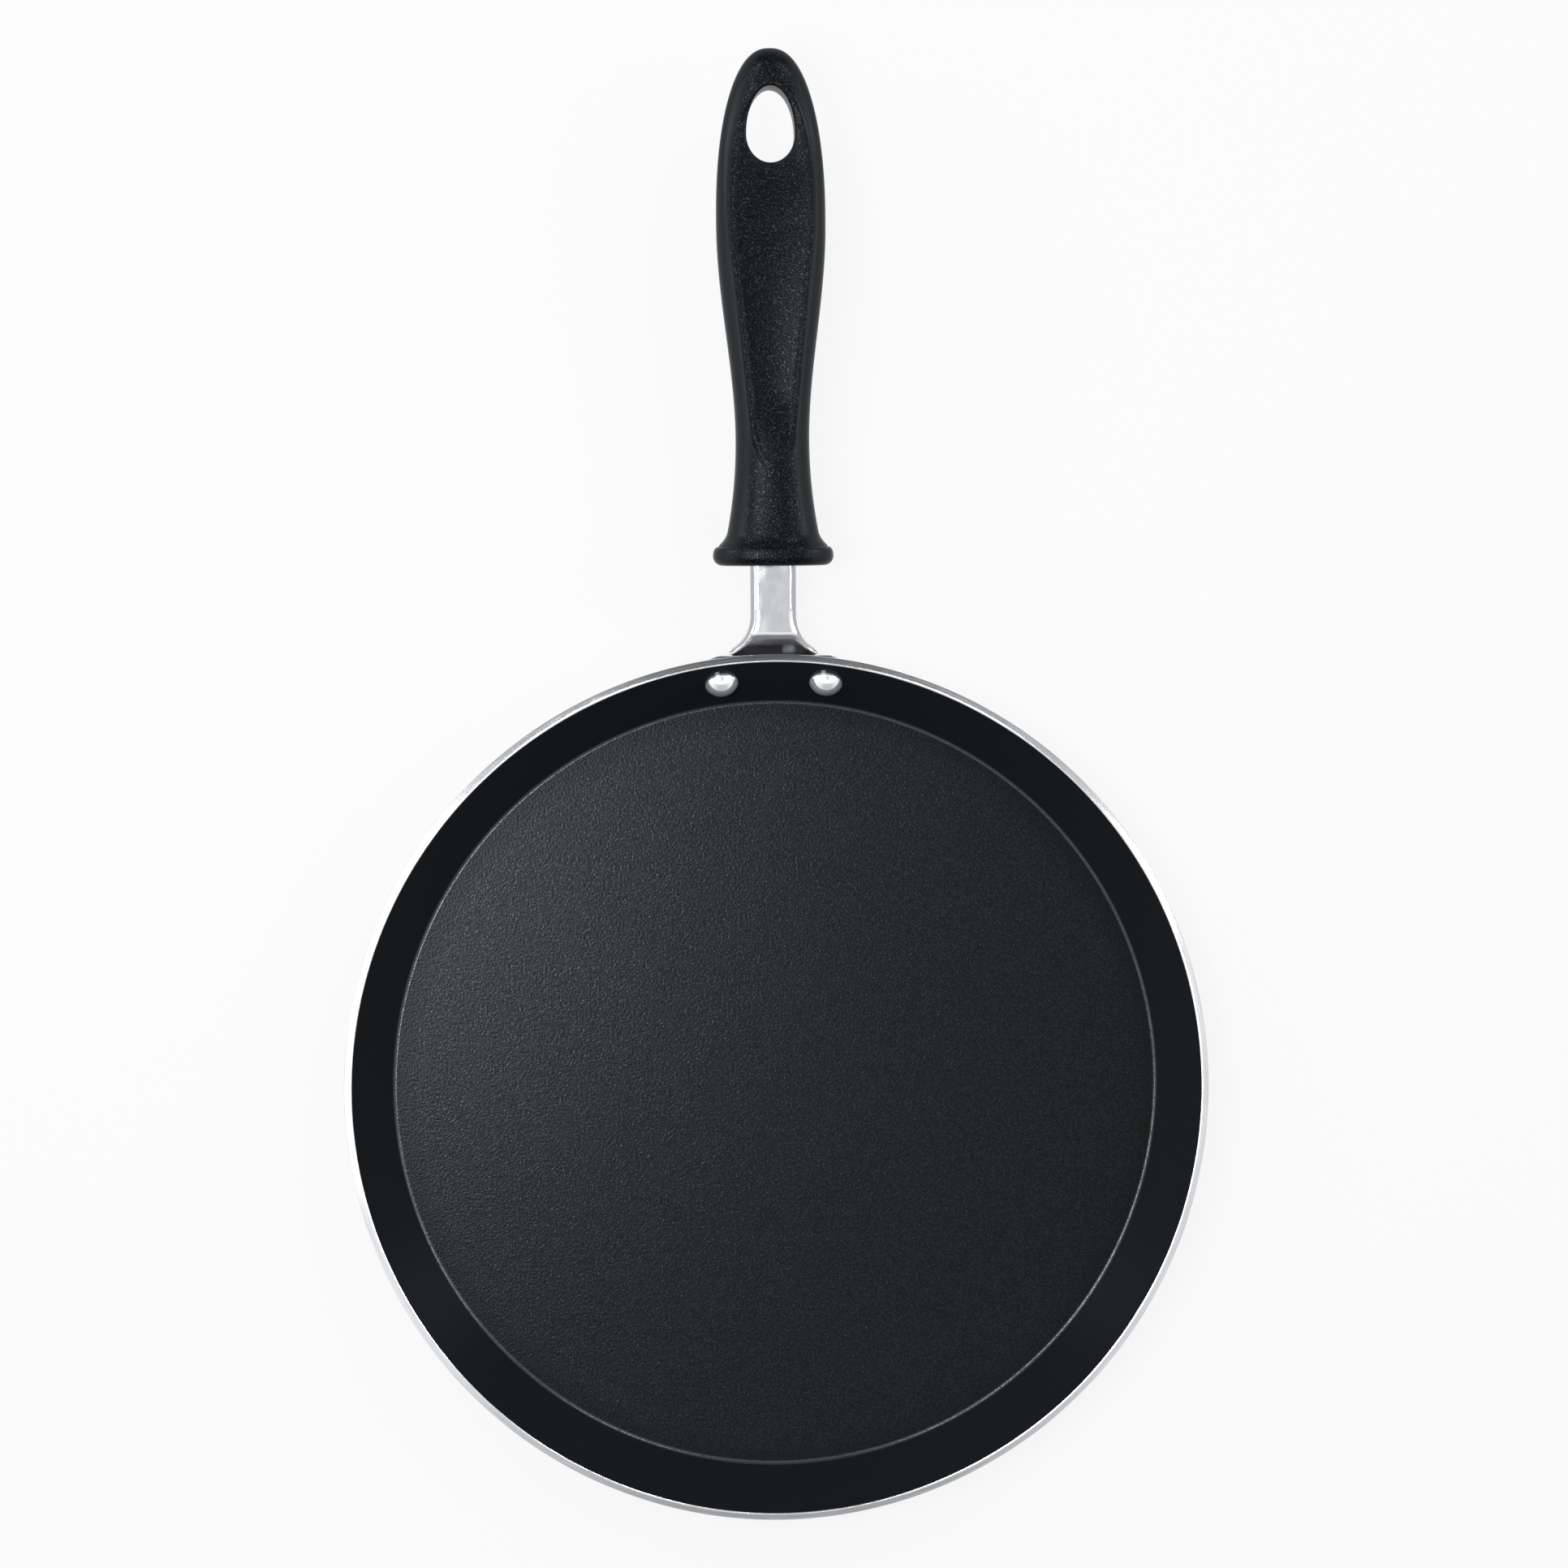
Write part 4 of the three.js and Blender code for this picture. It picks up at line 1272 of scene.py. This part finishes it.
# %% The lock washer
def washer_rings():
    inner, outer, thick, chamfer, rise = 2.8, 4.4, 1.0, 0.15, 0.2
    section = [(inner + chamfer, 0.0), (outer - chamfer, 0.0),
               (outer, chamfer), (outer, thick - chamfer),
               (outer - chamfer, thick), (inner + chamfer, thick),
               (inner, thick - chamfer), (inner, chamfer)]
    split = math.radians(16.0)
    rings = []
    for share in np.linspace(0.0, 1.0, 97):
        turn = split / 2.0 + share * (2.0 * math.pi - split)
        foot = washer_top - WASHER_THICKNESS + rise * share
        east, north = math.cos(turn), math.sin(turn)
        rings.append([(r * east, SCREW_AT + r * north, foot + z) for r, z in section])
    return rings


washer = tidy_shell(loft("split_washer", placed(grip_frame, washer_rings())))
washer.data.materials.append(steel_finish)
stand_in(shade(washer, 35.0), "screw_steel", "lock_washer")

# %% [markdown]
# ## Studio
# The tawa lies on a pale sweep. The floor shines with the pale tone of the background for what the
# camera, a mirror or a pane sees, and keeps a share of plain diffuse white, so that the shadow of the
# dish stays on it. From below the floor is clear.

# %% Floor
PALE = 0.915


def pale_floor():
    finish = Finish("pale_floor")
    ray = finish.node("ShaderNodeLightPath", out="Is Camera Ray")
    seen = finish.math("MAXIMUM", ray, ray.out("Is Glossy Ray"))
    seen = finish.math("MAXIMUM", seen, ray.out("Is Transmission Ray"))
    matt = finish.node("ShaderNodeBsdfDiffuse", inputs={"Color": grey(0.9)})
    glow = finish.node("ShaderNodeEmission", inputs={"Color": grey(1.0), "Strength": PALE})
    lit = finish.node("ShaderNodeMixShader", inputs={0: seen * 0.95, 1: matt, 2: glow})
    back = finish.node("ShaderNodeNewGeometry", out="Backfacing")
    clear = finish.node("ShaderNodeBsdfTransparent")
    both = finish.node("ShaderNodeMixShader", inputs={0: back, 1: lit, 2: clear})
    finish.node("ShaderNodeOutputMaterial", inputs={"Surface": both})
    return finish.material


REACH = 4000.0
FLOOR_HEIGHT = -0.2
corners = [(-REACH, -REACH), (REACH, -REACH), (REACH, REACH), (-REACH, REACH)]
floor = piece_from("floor", [(x, y, FLOOR_HEIGHT) for x, y in corners], [(0, 1, 2, 3)])
floor.data.materials.append(pale_floor())
print("floor laid")

# %% [markdown]
# Soft light comes from a grey room with a white ceiling panel, a bright wall on the left, a paler one
# on the right and a dark end behind the grip. The panel is dimmer round the camera. A key lamp near
# the camera, on the left, low panels on both sides and lamps on the right and behind the grip draw
# the highlights. Where the camera looks at it, the room is pale.

# %% Dome and light panels
CEILING = 1.0
LENS_SHADE = 0.55
DEGREES = 180.0 / math.pi


def soft_dome():
    world = bpy.data.worlds.new("soft_dome")
    bpy.context.scene.world = world
    world.use_nodes = True
    world.node_tree.nodes.clear()
    sheet = Sheet(world.node_tree)
    way = sheet.node("ShaderNodeTexCoord", out="Generated")
    parts = sheet.node("ShaderNodeSeparateXYZ", inputs={0: way})
    x, y, z = parts, parts.out("Y"), parts.out("Z")
    aside = sheet.math("ARCTAN2", x, z) * DEGREES
    along = sheet.math("ARCTAN2", y, z) * DEGREES
    across = sheet.ease(aside, -85.0, -70.0) * sheet.ease(aside, 62.0, 78.0, 1.0, 0.0)
    overhead = sheet.ease(along, -46.0, -38.0) * sheet.ease(along, 8.0, 20.0, 1.0, 0.0) * across
    left_wall = sheet.ease(x, -0.9, -0.1, 0.52, 0.0)
    right_wall = sheet.ease(x, 0.25, 0.95, 0.0, 0.45)
    dark_end = sheet.ease(y, 0.1, 0.8, 0.0, 0.3)
    room = left_wall + right_wall - dark_end + 0.44
    from_lens = sheet.math("SQRT", (aside - 3.0) ** 2.0 + (along + 4.0) ** 2.0)
    ceiling = sheet.ease(from_lens, 7.0, 19.0, LENS_SHADE, CEILING)
    level = room + (ceiling - room) * overhead
    ray = sheet.node("ShaderNodeLightPath", out="Is Camera Ray")
    seen = sheet.math("MAXIMUM", ray, ray.out("Is Transmission Ray"))
    light = sheet.node("ShaderNodeBackground",
                       inputs={"Color": (0.97, 0.985, 1.0, 1.0), "Strength": level})
    pale = sheet.node("ShaderNodeBackground", inputs={"Color": grey(1.0), "Strength": PALE})
    both = sheet.node("ShaderNodeMixShader", inputs={0: seen, 1: light, 2: pale})
    sheet.node("ShaderNodeOutputWorld", inputs={"Surface": both})


def panel(name, place, aim, width, height, power, colour):
    lamp = bpy.data.lights.new(name, "AREA")
    lamp.shape = "RECTANGLE"
    lamp.size = width
    lamp.size_y = height
    lamp.energy = power
    lamp.color = colour
    holder = bpy.data.objects.new(name, lamp)
    bpy.context.scene.collection.objects.link(holder)
    holder.location = place
    holder.rotation_euler = (Vector(aim) - Vector(place)).to_track_quat("-Z", "Y").to_euler()
    print("%s: %.1f W at %.2f m" % (name, power, Vector(place).length))


soft_dome()
panel("key_lamp", (-0.285, 0.098, 0.827), (0.0, 0.0, 0.0), 0.32, 0.32, 7.0, (0.93, 0.97, 1.0))
panel("left_panel", (-0.98, 0.14, 0.465), (0.0, 0.0, 0.0), 1.0, 0.45, 1.7, (0.97, 0.99, 1.0))
panel("left_strip", (-0.8, 0.46, 0.44), (0.0, 0.0, 0.0), 0.22, 0.3, 2.0, (0.97, 0.99, 1.0))
panel("right_strip", (0.91, 0.41, 0.465), (0.0, 0.0, 0.0), 0.2, 0.3, 2.4, (0.97, 0.98, 1.0))
panel("right_lamp", (0.8, 0.2, 0.7), (0.0, 0.1, 0.0), 0.3, 0.4, 2.5, (0.95, 0.98, 1.0))
panel("left_rear_lamp", (-0.46, 0.84, 0.8), (0.0, 0.2, 0.0), 0.3, 0.3, 4.5, (0.95, 0.98, 1.0))
panel("right_rear_lamp", (0.48, 0.82, 0.8), (0.0, 0.2, 0.0), 0.3, 0.3, 4.5, (0.95, 0.98, 1.0))

# %% [markdown]
# ## Camera
# The picture was taken from straight above, a little to the left of the tawa, with a long lens. The
# camera stands a metre over the rim, and its aim and roll put the dish and the tip of the grip where
# they lie in the frame.

# %% Camera
LENS = 74.0
EYE_POINT = Vector((-0.0444, 0.098, 1.062))
AIM_POINT = Vector((0.0026, 0.098, 0.022))
ROLL = math.radians(0.62)
lens = bpy.data.cameras.new("camera")
lens.lens = LENS
lens.sensor_width = 36.0
camera = bpy.data.objects.new("camera", lens)
bpy.context.scene.collection.objects.link(camera)
sight = (AIM_POINT - EYE_POINT).normalized()
right = sight.cross(Vector((0.0, 1.0, 0.0))).normalized()
upward = right.cross(sight)
basis = Matrix((right, upward, -sight)).transposed().to_4x4()
camera.matrix_world = Matrix.Translation(EYE_POINT) @ basis @ Matrix.Rotation(-ROLL, 4, "Z")
bpy.context.scene.camera = camera
bpy.context.scene.view_settings.view_transform = "Standard"
print("camera at", tuple(round(value, 3) for value in EYE_POINT))
